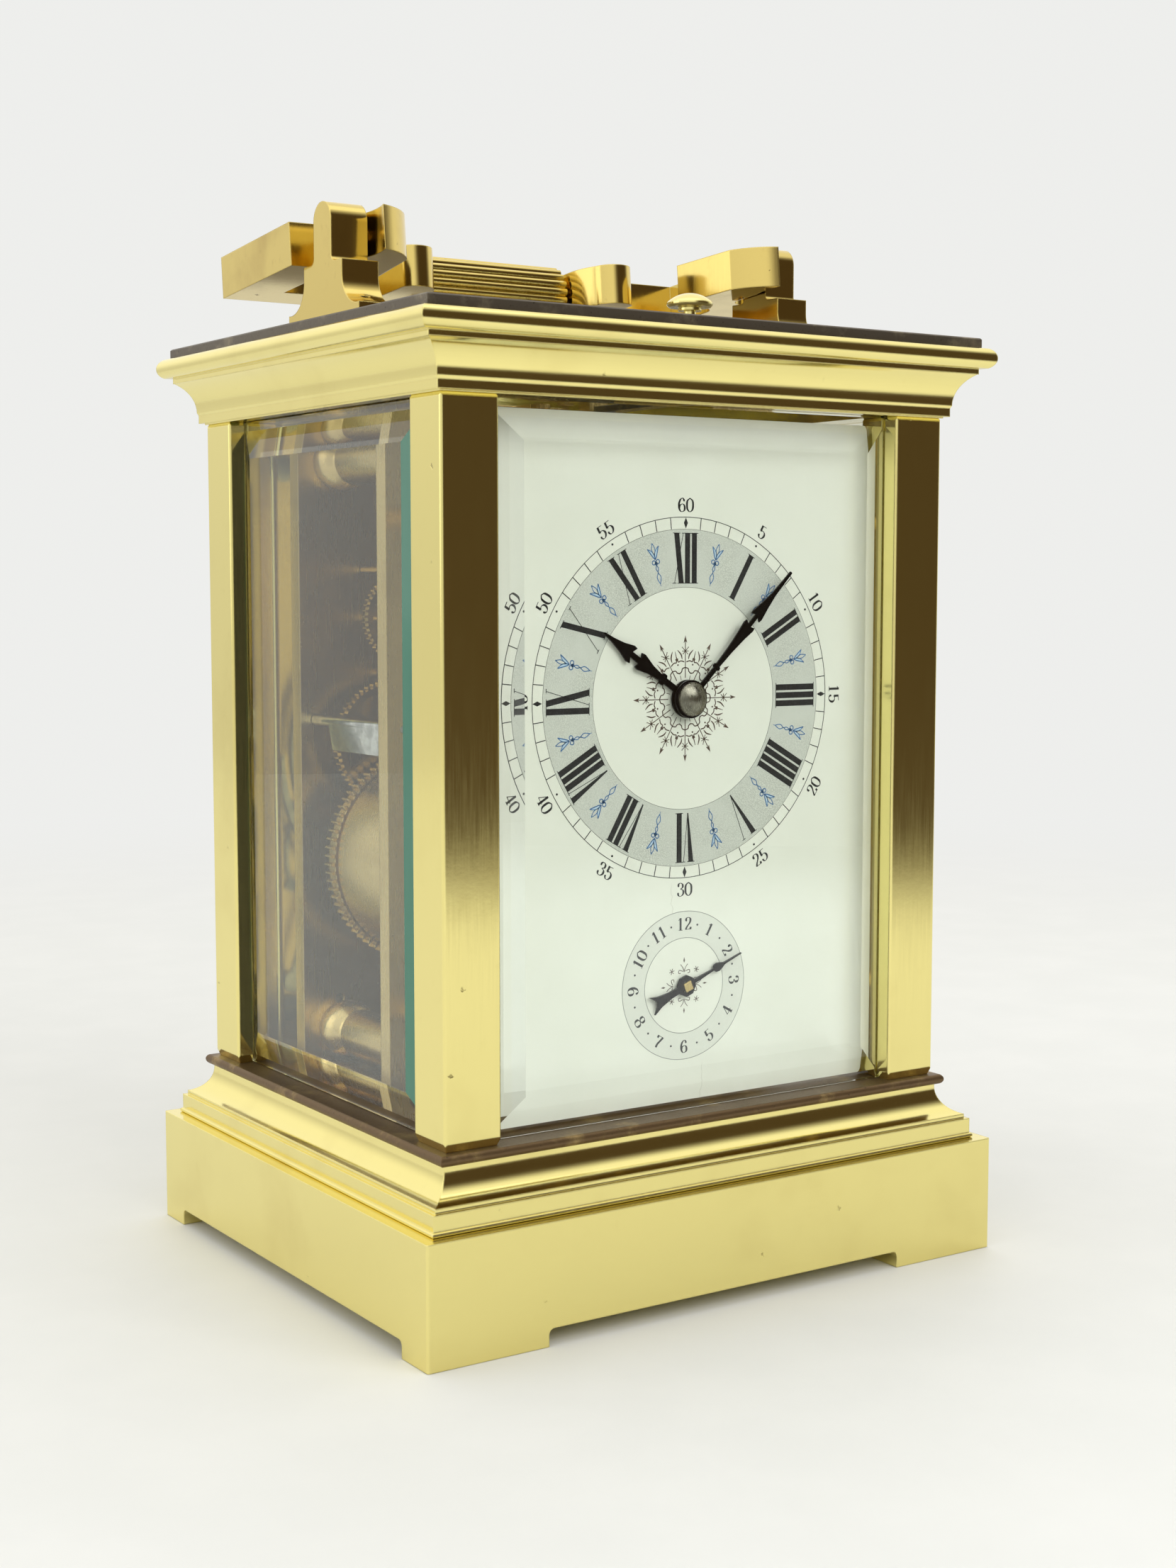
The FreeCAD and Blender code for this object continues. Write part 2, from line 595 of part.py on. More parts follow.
def base_lip():
    """Floor plate whose rounded edge shows as the lip below the pillars."""
    profile = [(LIP_INSET + 0.45, LIP_BOTTOM), (LIP_INSET, (LIP_BOTTOM + LIP_TOP) / 2, "via"),
               (LIP_INSET + 0.45, LIP_TOP)]
    solid = moulding(profile)
    pin = rod_z(HINGE_PIN_RADIUS + RUNNING_GAP, DOOR_AXIS[0], DOOR_AXIS[1], LIP_BOTTOM - 1, LIP_TOP + 1)
    return cut(solid, pin, *pillar_screw_shanks(CASE_SCREW_RADIUS + RUNNING_GAP))


def pillar_screw_shanks(radius):
    return [rod_z(radius, sx * PILLAR_X, sy * PILLAR_Y, 16.0, 33.0) for sx, sy in CORNERS]


def pillar(sx, sy):
    x0, x1 = PILLAR_OUT_X - PILLAR_WIDTH, PILLAR_OUT_X
    y0, y1 = PILLAR_OUT_Y - PILLAR_DEPTH, PILLAR_OUT_Y
    body = box(x0, x1, y0, y1, LIP_TOP, PILLAR_TOP)
    upright = [e for e in body.Edges if abs(e.tangentAt(e.FirstParameter).z) > 0.9]
    body = body.makeFillet(0.4, upright)
    foot_top = LIP_TOP + PILLAR_FOOT
    head_bottom = PILLAR_TOP - PILLAR_HEAD
    foot = cut(box(x0 - 1, x1 + 1, y0 - 1, y1 + 1, LIP_TOP, foot_top),
               frustum(x0, x1, y0, y1, LIP_TOP, foot_top, FOOT_CHAMFER))
    head = cut(box(x0 - 1, x1 + 1, y0 - 1, y1 + 1, head_bottom, PILLAR_TOP),
               frustum(x0, x1, y0, y1, PILLAR_TOP, head_bottom, HEAD_CHAMFER))
    body = cut(body, foot, head)
    if sx < 0:
        body = mirror_x(body)
    if sy < 0:
        body = body.mirror(V(0, 0, 0), V(0, 1, 0))
    gap = GROOVE_GAP
    screw_hole = rod_z(CASE_SCREW_RADIUS + RUNNING_GAP, sx * PILLAR_X, sy * PILLAR_Y, 16.0, 33.0)
    grooves = [side_glass_slot(sx, gap), screw_hole]
    if sy < 0:
        grooves.append(front_glass_slot(gap))
    return cut(body, *grooves)


def frustum(x0, x1, y0, y1, z_small, z_large, inset):
    """A block that grows by the inset from z_small to z_large."""
    small = Part.makePolygon([V(x0 + inset, y0 + inset, z_small), V(x1 - inset, y0 + inset, z_small),
                              V(x1 - inset, y1 - inset, z_small), V(x0 + inset, y1 - inset, z_small),
                              V(x0 + inset, y0 + inset, z_small)])
    large = Part.makePolygon([V(x0, y0, z_large), V(x1, y0, z_large), V(x1, y1, z_large),
                              V(x0, y1, z_large), V(x0, y0, z_large)])
    return Part.makeLoft([small, large], True, True)


def front_glass_slot(gap):
    half = PILLAR_OUT_X - PILLAR_WIDTH + GROOVE_DEPTH
    y1 = FRONT_GLASS_BACK + gap
    return box(-half, half, y1 - GLASS_EDGE - 2 * gap, y1, LIP_TOP - 1, PILLAR_TOP + 1)


def side_glass_slot(sx, gap):
    half = PILLAR_OUT_Y - PILLAR_DEPTH + GROOVE_DEPTH
    inner, outer = SIDE_GLASS_INSIDE - gap, SIDE_GLASS_INSIDE + GLASS_EDGE + gap
    x0, x1 = (inner, outer) if sx > 0 else (-outer, -inner)
    return box(x0, x1, -half, half, LIP_TOP - 1, PILLAR_TOP + 1)


def bevelled(half_u, v0, v1, thickness, edge, bevel):
    """Glass standing in the XZ plane: flat back at y = 0, thin border, bevels on the front face."""
    outlines = []
    for inset, y in ((GLASS_BORDER, -edge), (GLASS_BORDER + bevel, -thickness)):
        u, low, high = half_u - inset, v0 + inset, v1 - inset
        outlines.append(Part.makePolygon([V(-u, y, low), V(u, y, low), V(u, y, high), V(-u, y, high),
                                          V(-u, y, low)]))
    raised = Part.makeLoft(outlines, True, True)
    flat = box(-half_u, half_u, -edge, 0, v0, v1)
    return fuse(flat, raised)


def front_glass():
    half = PILLAR_OUT_X - PILLAR_WIDTH + GROOVE_DEPTH - GROOVE_GAP
    pane = bevelled(half, GLASS_BOTTOM, GLASS_TOP, GLASS_THICKNESS, GLASS_EDGE, BEVEL_WIDTH)
    pane.translate(V(0, FRONT_GLASS_BACK, 0))
    return pane


def side_glass(sx):
    half = PILLAR_OUT_Y - PILLAR_DEPTH + GROOVE_DEPTH - GROOVE_GAP
    pane = bevelled(half, GLASS_BOTTOM, GLASS_TOP, GLASS_THICKNESS, GLASS_EDGE, BEVEL_WIDTH)
    pane.rotate(V(0, 0, 0), V(0, 0, 1), 90 if sx > 0 else -90)
    pane.translate(V(sx * SIDE_GLASS_INSIDE, 0, 0))
    return pane


def top_glass():
    """Bevelled pane lying in the cornice rebate and rising through the slab opening."""
    seat = box(-27, 27, -20, 20, 131.25, CORNICE_TOP - 0.05)
    half_x, half_y, bevel, top = TOP_OPENING_X - 0.2, TOP_OPENING_Y - 0.2, 3.0, 134.6
    body = box(-half_x, half_x, -half_y, half_y, 132.0, 133.5)
    crown = frustum(-half_x, half_x, -half_y, half_y, top, 133.5, bevel)
    return fuse(seat, body, crown)


def cornice():
    profile = [(6.0, PILLAR_TOP), (6.0, 123.0), (5.3, 123.0), (5.3, 124.2), (5.1, 124.6),
               (4.43, 127.13, "via"), (2.6, 129.0), (2.45, 129.0), (2.45, 129.83), (1.5, 129.83),
               (0.55, 131.2, "via"), (1.5, CORNICE_TOP)]
    solid = moulding(profile)
    cavity = box(-CORNICE_CAVITY_X, CORNICE_CAVITY_X, -CORNICE_CAVITY_Y, CORNICE_CAVITY_Y,
                 PILLAR_TOP - 1, CORNICE_RING_BOTTOM)
    pocket = rod_z(3.5, 0, BUTTON_Y, PILLAR_TOP - 1, CORNICE_RING_BOTTOM)
    opening = box(-25, 25, -18, 18, CORNICE_RING_BOTTOM - 1, CORNICE_TOP + 1)
    rebate = box(-27.1, 27.1, -20.1, 20.1, 131.2, CORNICE_TOP + 1)
    pin = rod_z(HINGE_PIN_RADIUS + RUNNING_GAP, DOOR_AXIS[0], DOOR_AXIS[1], PILLAR_TOP - 1, 125.0)
    bush = rod_z(BUSH_RADIUS, 0, BUTTON_Y, CORNICE_RING_BOTTOM - 1, CORNICE_TOP + 1)
    return cut(solid, cavity, pocket, opening, rebate, pin, bush, *bracket_screw_holes())


def top_slab():
    profile = [(SLAB_INSET, CORNICE_TOP), (SLAB_INSET, SLAB_TOP - 0.2), (SLAB_INSET + 0.2, SLAB_TOP)]
    solid = moulding(profile)
    opening = box(-TOP_OPENING_X, TOP_OPENING_X, -TOP_OPENING_Y, TOP_OPENING_Y,
                  CORNICE_TOP - 1, SLAB_TOP + 1)
    bush = rod_z(BUSH_RADIUS, 0, BUTTON_Y, CORNICE_TOP - 1, SLAB_TOP + 1)
    return cut(solid, opening, bush, *bracket_screw_holes())


# ------------------------------------------------------------------ rear door

def rear_door():
    x0, x1 = -DOOR_HALF_X, DOOR_HALF_X
    y0, y1 = DOOR_INSIDE, DOOR_INSIDE + DOOR_THICKNESS
    radius = DOOR_THICKNESS / 2
    outline = [(x0 + radius, y0), (x1, y0), (x1, y1), (x0 + radius, y1), (x0, y0 + radius, "via")]
    slab = extrude_z(outline, DOOR_BOTTOM, DOOR_TOP)
    opening = box(x0 + DOOR_RAIL, x1 - DOOR_RAIL, y0 - 1, y1 + 1,
                  DOOR_BOTTOM + DOOR_RAIL, DOOR_TOP - DOOR_RAIL)
    rebate = box(x0 + DOOR_RAIL - 1.6, x1 - DOOR_RAIL + 1.6, y0 - 1, y0 + 2.7,
                 DOOR_BOTTOM + DOOR_RAIL - 1.6, DOOR_TOP - DOOR_RAIL + 1.6)
    pins = rod_z(HINGE_PIN_RADIUS, DOOR_AXIS[0], DOOR_AXIS[1],
                 DOOR_BOTTOM - HINGE_PIN_REACH, DOOR_TOP + HINGE_PIN_REACH + 0.6)
    latch = rod_y(1.05, DOOR_HALF_X - 3.2, 75, y0 - 1, y1 + 1)
    middle = box(x0 - 1, x1 + 1, y0 - 1, y1 + 1, DOOR_BOTTOM + 4, DOOR_TOP - 4)
    return cut(fuse(slab, cut(pins, middle)), opening, rebate, latch)


def door_glass():
    half = DOOR_HALF_X - DOOR_RAIL + 1.5
    pane = bevelled(half, DOOR_BOTTOM + DOOR_RAIL - 1.5, DOOR_TOP - DOOR_RAIL + 1.5, 2.5, 1.4, 4.5)
    pane.rotate(V(0, 0, 0), V(0, 0, 1), 180)
    pane.translate(V(0, DOOR_INSIDE, 0))
    return pane


def door_knob():
    """Turned knob with a shank through the door frame."""
    y = DOOR_INSIDE + DOOR_THICKNESS
    profile = [(0, -DOOR_THICKNESS), (1.0, -DOOR_THICKNESS), (1.0, 0.05), (2.2, 0.05), (2.2, 0.7),
               (1.3, 1.5, "via"), (1.5, 2.6), (2.6, 3.6, "via"), (1.6, 4.7), (0, 4.9)]
    return turned(profile, V(DOOR_HALF_X - 3.2, y, 75), V(0, 1, 0))


# ------------------------------------------------------------------ handle

def bracket():
    """Right bracket: flared foot, ledges and an upright with a rounded top."""
    c = PIVOT_Y
    foot_mid = (7.0, 137.7)
    half = [(BRACKET_FOOT_HALF, SLAB_TOP), (BRACKET_FOOT_HALF, BRACKET_FOOT_TOP),
            foot_mid + ("via",), (LEDGE_HALF, LEDGE_BOTTOM), (LEDGE_HALF, LEDGE_TOP),
            (UPRIGHT_HALF + 0.9, LEDGE_TOP), (UPRIGHT_HALF + 0.26, LEDGE_TOP + 0.26, "via"),
            (UPRIGHT_HALF, LEDGE_TOP + 0.9), (UPRIGHT_HALF, UPRIGHT_TOP - UPRIGHT_HALF)]
    right = [(c + p[0],) + tuple(p[1:]) for p in half]
    left = [(c - p[0],) + tuple(p[1:]) for p in reversed(half)]
    solid = extrude_x(right + [(c, UPRIGHT_TOP, "via")] + left, BRACKET_IN, BRACKET_OUT)
    bore = rod_x(HANDLE_PIN_RADIUS + RUNNING_GAP, PIVOT_Y, PIVOT_Z, BRACKET_IN - 1, BRACKET_OUT - 0.8)
    return cut(solid, bore, *bracket_screw_holes())


def bracket_screw_places():
    x = (BRACKET_IN + BRACKET_OUT) / 2
    return [(sx * x, PIVOT_Y + sy * BRACKET_SCREW_OFFSET) for sx in (-1, 1) for sy in (-1, 1)]


def bracket_screw_holes():
    return [rod_z(BRACKET_SCREW_RADIUS + 0.02, x, y, 125.0, 137.6) for x, y in bracket_screw_places()]


def case_screws():
    """Screws up into the pillars from under the base, and up into the brackets."""
    lower = [rod_z(CASE_SCREW_RADIUS, sx * PILLAR_X, sy * PILLAR_Y, PLINTH_TOP, 32.8) for sx, sy in CORNERS]
    upper = [rod_z(BRACKET_SCREW_RADIUS, x, y, 130.3, 137.4) for x, y in bracket_screw_places()]
    return group(lower + upper)


def handle_place(shape):
    """Lay a shape drawn in the XY plane (Y = distance from the pivot) into the folded handle."""
    shape.rotate(V(0, 0, 0), V(1, 0, 0), -HANDLE_TILT)
    shape.translate(V(0, PIVOT_Y, PIVOT_Z))
    return shape


def handle_arm():
    """Right arm: scroll, bracket bay, straight arm, rear bar and the shoulder beside the grip."""
    outline = [(28.3, -2.0), (31.0, -5.1, "via"), (34.2, -6.7),
               (33.85, -3.6, "via"), (34.4, -0.6), (34.4, 4.7),
               (35.2, 6.05, "via"), (37.4, 6.75), (41.8, 6.9), (41.8, 30.0), (14.9, 30.0),
               (13.3, 28.6), (13.3, 20.6), (13.55, 17.4, "via"), (14.7, 14.7),
               (17.8, 12.2, "via"), (20.4, 13.4), (20.6, 23.2),
               (35.1, 23.2), (35.1, 13.6), (34.0, 11.3, "via"), (31.2, 10.4), (26.9, 9.8),
               (27.6, 4.0, "via")]
    half = HANDLE_THICKNESS / 2
    arm = extrude_z(outline, -half, half)
    pin = rod_x(HANDLE_PIN_RADIUS, 0, 0, 29.6, 34.6)
    tube = rod_x(2.0, GRIP_AXIS, 0, 13.0, 17.0)
    return handle_place(cut(arm, pin, tube))


def handle_pivots():
    shapes = []
    for sx in (-1, 1):
        pin = rod_x(HANDLE_PIN_RADIUS, 0, 0, 29.6, BRACKET_OUT - 0.9)
        shapes.append(handle_place(pin if sx > 0 else mirror_x(pin)))
    return group(shapes)


def handle_grip():
    """Reeded grip with turned necks and spigots that enter the arm shoulders."""
    root = GRIP_RADIUS - REED_RADIUS
    core = rod_x(root, GRIP_AXIS, 0, -GRIP_HALF_LENGTH, GRIP_HALF_LENGTH)
    reeds = []
    for i in range(GRIP_REEDS):
        angle = 2 * math.pi * i / GRIP_REEDS
        reeds.append(rod_x(REED_RADIUS, GRIP_AXIS + root * math.cos(angle), root * math.sin(angle),
                           -GRIP_HALF_LENGTH, GRIP_HALF_LENGTH))
    spigot = rod_x(2.0, GRIP_AXIS, 0, -17.0, 17.0)
    necks = [Part.makeCone(root, 2.9, 0.5, V(s * GRIP_HALF_LENGTH, GRIP_AXIS, 0), V(s, 0, 0))
             for s in (-1, 1)]
    shape = core.multiFuse(reeds + [spigot] + necks).removeSplitter()
    return handle_place(shape)


# ------------------------------------------------------------------ button

def repeat_button():
    profile = [(0, BUTTON_STEM_BOTTOM), (BUTTON_STEM_RADIUS, BUTTON_STEM_BOTTOM),
               (BUTTON_STEM_RADIUS, 135.8), (1.6, 135.8), (1.6, BUTTON_CAP_BOTTOM),
               (BUTTON_CAP_RADIUS - 0.25, BUTTON_CAP_BOTTOM), (BUTTON_CAP_RADIUS, 136.6),
               (BUTTON_CAP_RADIUS, 136.9), (BUTTON_CAP_RADIUS - 0.25, BUTTON_CAP_RIM),
               (0, BUTTON_CAP_RIM)]
    body = turned(profile, V(0, BUTTON_Y, 0), V(0, 0, 1))
    top = dome(BUTTON_CAP_RADIUS - 0.25, BUTTON_CAP_TOP - BUTTON_CAP_RIM,
               V(0, BUTTON_Y, BUTTON_CAP_RIM), V(0, 0, 1))
    return fuse(body, top)


def button_bush():
    ring = rod_z(BUSH_RADIUS, 0, BUTTON_Y, CORNICE_RING_BOTTOM, BUSH_TOP)
    return cut(ring, rod_z(BUTTON_STEM_RADIUS + RUNNING_GAP, 0, BUTTON_Y, 120, 140))


def repeat_lever():
    """Lever on the front plate; its tab reaches forward under the button stem."""
    pivot = REPEAT_PIVOT
    arm = extrude_y([(pivot[0] - 1.6, pivot[1] - 1.4), (-1.2, 118.2), (1.5, 119.0), (1.5, 124.3),
                     (-1.5, 124.3), (-1.5, 120.6), (pivot[0], pivot[1] + 2.0)], -10.4, -9.2)
    hub = rod_y(2.0, pivot[0], pivot[1], -10.6, -7.5)
    tab = box(-1.5, 1.5, -31.9, -9.2, 123.4, 124.3)
    bore = rod_y(0.95, pivot[0], pivot[1], -12, -6)
    return cut(fuse(arm, hub, tab), bore)


# ------------------------------------------------------------------ dial and hands

def dial_plate():
    plate = box(-DIAL_HALF_X, DIAL_HALF_X, DIAL_FRONT, DIAL_BACK, DIAL_BOTTOM, DIAL_TOP)
    upright = [e for e in plate.Edges if abs(e.tangentAt(e.FirstParameter).y) > 0.9]
    plate = plate.makeFillet(1.0, upright)
    return cut(plate, rod_y(2.15, 0, CENTRE_Z, -32, -26), rod_y(1.1, 0, ALARM_Z, -32, -26))


def dial_feet():
    """Four posts between the dial and the front plate."""
    return group([rod_y(1.6, x, z, DIAL_BACK, FRONT_PLATE[0])
                  for x in (-28.0, 28.0) for z in (38.0, 108.0)])


def hand(outline, centre, hub_radius, bore, span, degrees):
    """Flat hand from half an outline of (distance from the centre, half width)."""
    right = [(w, r) for r, w in outline]
    left = [(-w, r) for r, w in reversed(outline)]
    shape = extrude_y(right + left, *span)
    shape = fuse(shape, rod_y(hub_radius, 0, 0, *span))
    shape = cut(shape, rod_y(bore, 0, 0, span[0] - 1, span[1] + 1))
    shape.rotate(V(0, 0, 0), V(0, 1, 0), degrees)
    shape.translate(V(centre[0], 0, centre[1]))
    return shape


def minute_hand():
    outline = [(1.5, 0.36), (5.8, 0.34), (5.95, 0.58), (6.35, 0.58), (6.5, 0.34), (9.5, 0.46),
               (12.2, 0.72), (14.0, 1.0), (14.5, 0.92), (14.2, 0.30), (16.1, 0.28), (15.7, 0.90),
               (16.2, 0.98), (18.2, 0.62), (20.4, 0.32), (24.7, 0.17)]
    return hand(outline, CENTRE, 2.65, HAND_ARBOR_RADIUS, MINUTE_HAND, MINUTE_ANGLE)


def hour_hand():
    outline = [(1.9, 0.46), (4.6, 0.44), (4.75, 0.80), (5.35, 0.80), (5.5, 0.46), (7.4, 0.66),
               (9.4, 1.22), (10.0, 1.10), (9.7, 0.42), (11.4, 0.40), (11.0, 1.18), (11.6, 1.26),
               (13.2, 0.70), (14.9, 0.34), (16.7, 0.12)]
    return hand(outline, CENTRE, 2.65, HOUR_PIPE_RADIUS, HOUR_HAND, HOUR_ANGLE)


def alarm_hand():
    """Needle with a spade near the tip, octagonal hub and fish tail."""
    needle = [(0.8, 0.30), (2.6, 0.24), (5.1, 0.12), (5.35, 0.50), (5.9, 0.62), (6.5, 0.42),
              (7.1, 0.14), (10.3, 0.06)]
    tail = [(0.8, 0.42), (3.0, 0.48), (4.9, 0.82), (6.3, 1.35), (6.1, 1.15), (5.5, 0.45), (5.35, 0.0)]
    shape = extrude_y([(w, r) for r, w in needle] + [(-w, r) for r, w in reversed(needle)], *ALARM_HAND)
    lower = [(w, -r) for r, w in tail] + [(-w, -r) for r, w in reversed(tail[:-1])]
    hub = [(1.55 * math.cos(math.pi * (i + 0.5) / 4), 1.55 * math.sin(math.pi * (i + 0.5) / 4))
           for i in range(8)]
    shape = fuse(shape, extrude_y(lower, *ALARM_HAND), extrude_y(hub, *ALARM_HAND))
    shape = cut(shape, box(-0.66, 0.66, ALARM_HAND[0] - 1, ALARM_HAND[1] + 1, -0.66, 0.66))
    shape.rotate(V(0, 0, 0), V(0, 1, 0), ALARM_ANGLE)
    shape.translate(V(0, 0, ALARM_Z))
    return shape


def alarm_arbor():
    """Arbor from the alarm hand to the setting square at the back, with the alarm disc."""
    front = box(-0.65, 0.65, -30.35, ALARM_HAND[1], -0.65, 0.65)
    front.rotate(V(0, 0, 0), V(0, 1, 0), ALARM_ANGLE)
    front.translate(V(0, 0, ALARM_Z))
    shaft = rod_y(0.95, 0, ALARM_Z, ALARM_HAND[1], 25.0)
    square = box(-0.65, 0.65, 25.0, 27.6, ALARM_Z - 0.65, ALARM_Z + 0.65)
    notch = box(-0.8, 0.8, -21, -18, ALARM_Z + 5.6, ALARM_Z + 8)
    disc = cut(rod_y(7.0, 0, ALARM_Z, -20.2, -19.0), notch)
    return fuse(front, shaft, square, disc)


def hand_boss():
    """Domed steel cap over the minute hand."""
    y = MINUTE_HAND[0]
    rim = rod_y(2.35, 0, CENTRE_Z, y - 0.4, y)
    return fuse(rim, dome(2.2, 0.75, V(0, y - 0.4, CENTRE_Z), V(0, -1, 0)))


# ------------------------------------------------------------------ movement frame

def pivot_holes(span):
    """Holes in a plate for every arbor that passes or runs in it."""
    y0, y1 = span[0] - 1, span[1] + 1
    thin = ARBOR_RADIUS * PIVOT_SHARE + PIVOT_GAP
    holes = [rod_y(thin, c[0], c[1], y0, y1)
             for c in (INTERMEDIATE, THIRD, CONTRATE, STRIKE_TWO, STRIKE_THREE, STRIKE_FOUR)]
    holes.append(rod_y(FLY_ARBOR_RADIUS * PIVOT_SHARE + PIVOT_GAP, FLY[0], FLY[1], y0, y1))
    holes.append(rod_y(CENTRE_SHAFT_RADIUS + PIVOT_GAP, CENTRE[0], CENTRE[1], y0, y1))
    holes.append(rod_y(0.95 + PIVOT_GAP, ALARM[0], ALARM[1], y0, y1))
    holes.append(rod_y(LIFTING_PIVOT_RADIUS + RUNNING_GAP, LIFTING_ARBOR[0], LIFTING_ARBOR[1], y0, y1))
    for c in (GOING_BARREL, STRIKE_BARREL):
        holes.append(rod_y(BARREL_PIVOT_RADIUS + PIVOT_GAP, c[0], c[1], y0, y1))
    return holes


def movement_plate(span):
    x, z0, z1 = PLATE_HALF_X, PLATE_BOTTOM, PLATE_TOP
    plate = extrude_y([(-x, z0), (x, z0), (x, z1), (-x, z1)], *span)
    screws = [rod_y(MOVEMENT_SCREW_RADIUS + 0.02, px, pz, span[0] - 1, span[1] + 1)
              for px, pz in pillar_places()]
    return cut(plate, *(pivot_holes(span) + screws))


def front_plate():
    """Front plate with the studs of the minute wheel and the repeat lever."""
    plate = movement_plate(FRONT_PLATE)
    stud = rod_y(MINUTE_STUD_RADIUS, MINUTE_STUD[0], MINUTE_STUD[1], -16.3, FRONT_PLATE[0])
    repeat_stud = rod_y(REPEAT_STUD_RADIUS, REPEAT_PIVOT[0], REPEAT_PIVOT[1], -11.4, FRONT_PLATE[0])
    return fuse(plate, stud, repeat_stud)


def back_plate():
    """Back plate with the hammer arbor's hole."""
    hole = rod_y(HAMMER_ARBOR_RADIUS + 0.02, HAMMER_PIVOT[0], HAMMER_PIVOT[1],
                 BACK_PLATE[0] - 1, BACK_PLATE[1] + 1)
    return cut(movement_plate(BACK_PLATE), hole)


def pillar_places():
    return [(x, z) for x in (-MOVEMENT_PILLAR_X, MOVEMENT_PILLAR_X)
            for z in (MOVEMENT_PILLAR_LOW, MOVEMENT_PILLAR_HIGH)]


def movement_pillars():
    """Turned pillars with a collar at the back plate."""
    shapes = []
    length = BACK_PLATE[0] - FRONT_PLATE[1]
    for x, z in pillar_places():
        profile = [(0, 0), (MOVEMENT_PILLAR_RADIUS, 0), (MOVEMENT_PILLAR_RADIUS, length - 6.4),
                   (2.9, length - 5.6, "via"), (3.2, length - 4.6), (4.2, length - 3.0, "via"),
                   (4.3, length - 1.2), (3.9, length), (0, length)]
        shapes.append(turned(profile, V(x, FRONT_PLATE[1], z), V(0, 1, 0)))
    return group(shapes)


def pillar_plate_screws():
    """Slotted screws through both plates into the movement pillars."""
    back = group([slotted_screw(x, z) for x, z in pillar_places()])
    front = back.mirror(V(0, 0, 0), V(0, 1, 0))
    front.translate(V(0, FRONT_PLATE[0], 0))
    back.translate(V(0, BACK_PLATE[1], 0))
    return group(front.Solids + back.Solids)


def slotted_screw(x, z):
    """Screw with the underside of its head at y = 0 and its slot facing the back."""
    head = rod_y(2.1, x, z, 0, 1.3)
    slot = box(x - 3, x + 3, 0.7, 2.0, z - 0.28, z + 0.28)
    shank = rod_y(MOVEMENT_SCREW_RADIUS, x, z, -2.6, 0)
    return fuse(head.cut(slot), shank)


def seat_board():
    """Brass seat that carries the movement on the case floor."""
    return box(-30, 30, FRONT_PLATE[0], BACK_PLATE[1], LIP_TOP, PLATE_BOTTOM)


def lifting_lever():
    """Steel arbor and blade of the strike release, on the left of the movement."""
    x, z = LIFTING_ARBOR
    shaft = fuse(rod_y(LIFTING_RADIUS, x, z, *INSIDE_PLATES),
                 rod_y(LIFTING_PIVOT_RADIUS, x, z, FRONT_PLATE[0] + 0.2, BACK_PLATE[1] - 0.2))
    blade = extrude_y([(x - 0.9, z), (x + 0.9, z), (x + 1.4, z - 3.2), (x - 0.2, z - 4.2)], -4.2, 14.0)
    finger = extrude_y([(x, z - 0.8), (x + 6.0, z - 1.6), (x + 6.0, z - 0.8), (x, z + 0.8)], 4.2, 5.4)
    return fuse(shaft, blade, finger)


# ------------------------------------------------------------------ platform escapement

def platform():
    z0, z1 = PLATFORM
    plate = box(-16, 16, FRONT_PLATE[0], BACK_PLATE[1], z0, z1)
    upright = [e for e in plate.Edges if abs(e.tangentAt(e.FirstParameter).z) > 0.9]
    plate = plate.makeFillet(2.0, upright)
    holes = [rod_z(1.45, 0, ESCAPE_Y, z0 - 1, z1 + 1), rod_z(0.30, 0, LEVER_Y, z0 - 1, z1 + 1),
             rod_z(0.34, 0, BALANCE_Y, z0 - 1, z1 + 1)]
    holes += [rod_z(1.1, x, y, z0 - 1, z1 + 1) for x in (-13, 13) for y in (-4.5, 19.5)]
    return cut(plate, *holes)


def escape_wheel():
    """Pointed teeth, crossings, arbor and the pinion that hangs to the contrate wheel."""
    z0, z1 = ESCAPE_LEVEL
    step = 2 * math.pi / ESCAPE_TEETH
    tooth = ((ESCAPE_ROOT, 0.0), (ESCAPE_RADIUS, 0.30), (ESCAPE_RADIUS, 0.42), (ESCAPE_ROOT, 0.38))
    points = []
    for i in range(ESCAPE_TEETH):
        for radius, share in tooth:
            angle = (i + share) * step
            points.append((radius * math.cos(angle), ESCAPE_Y + radius * math.sin(angle)))
    windows = cut(rod_z(2.6, 0, ESCAPE_Y, z0 - 0.2, z1 + 0.4), rod_z(0.95, 0, ESCAPE_Y, z0 - 1, z1 + 1),
                  box(-3, 3, ESCAPE_Y - 0.3, ESCAPE_Y + 0.3, z0 - 1, z1 + 1),
                  box(-0.3, 0.3, ESCAPE_Y - 3, ESCAPE_Y + 3, z0 - 1, z1 + 1))
    leaves = []
    for i in range(ESCAPE_LEAVES):
        leaf = box(0, 1.25, -0.16, 0.16, *ESCAPE_PINION)
        leaf.rotate(V(0, 0, 0), V(0, 0, 1), 360.0 * i / ESCAPE_LEAVES)
        leaf.translate(V(0, ESCAPE_Y, 0))
        leaves.append(leaf)
    shaft = rod_z(0.4, 0, ESCAPE_Y, ESCAPE_PINION[0] - 1.0, z1 + 1.0)
    core = rod_z(0.7, 0, ESCAPE_Y, *ESCAPE_PINION)
    return fuse(extrude_z(points, z0, z1).cut(windows), shaft, core, *leaves)


def pallet_lever():
    """Fork towards the balance and two pallet arms towards the escape wheel."""
    y = LEVER_Y
    half = [(0.35, y - 4.2), (0.45, y - 0.6), (2.2, y + 1.0), (2.2, y + 1.7)]
    outline = half + [(0.0, y + 0.9)] + [(-p[0], p[1]) for p in reversed(half)]
    staff = rod_z(0.26, 0, y, PLATFORM[0], ESCAPE_LEVEL[1] + 1.0)
    return fuse(extrude_z(outline, *ESCAPE_LEVEL), staff)


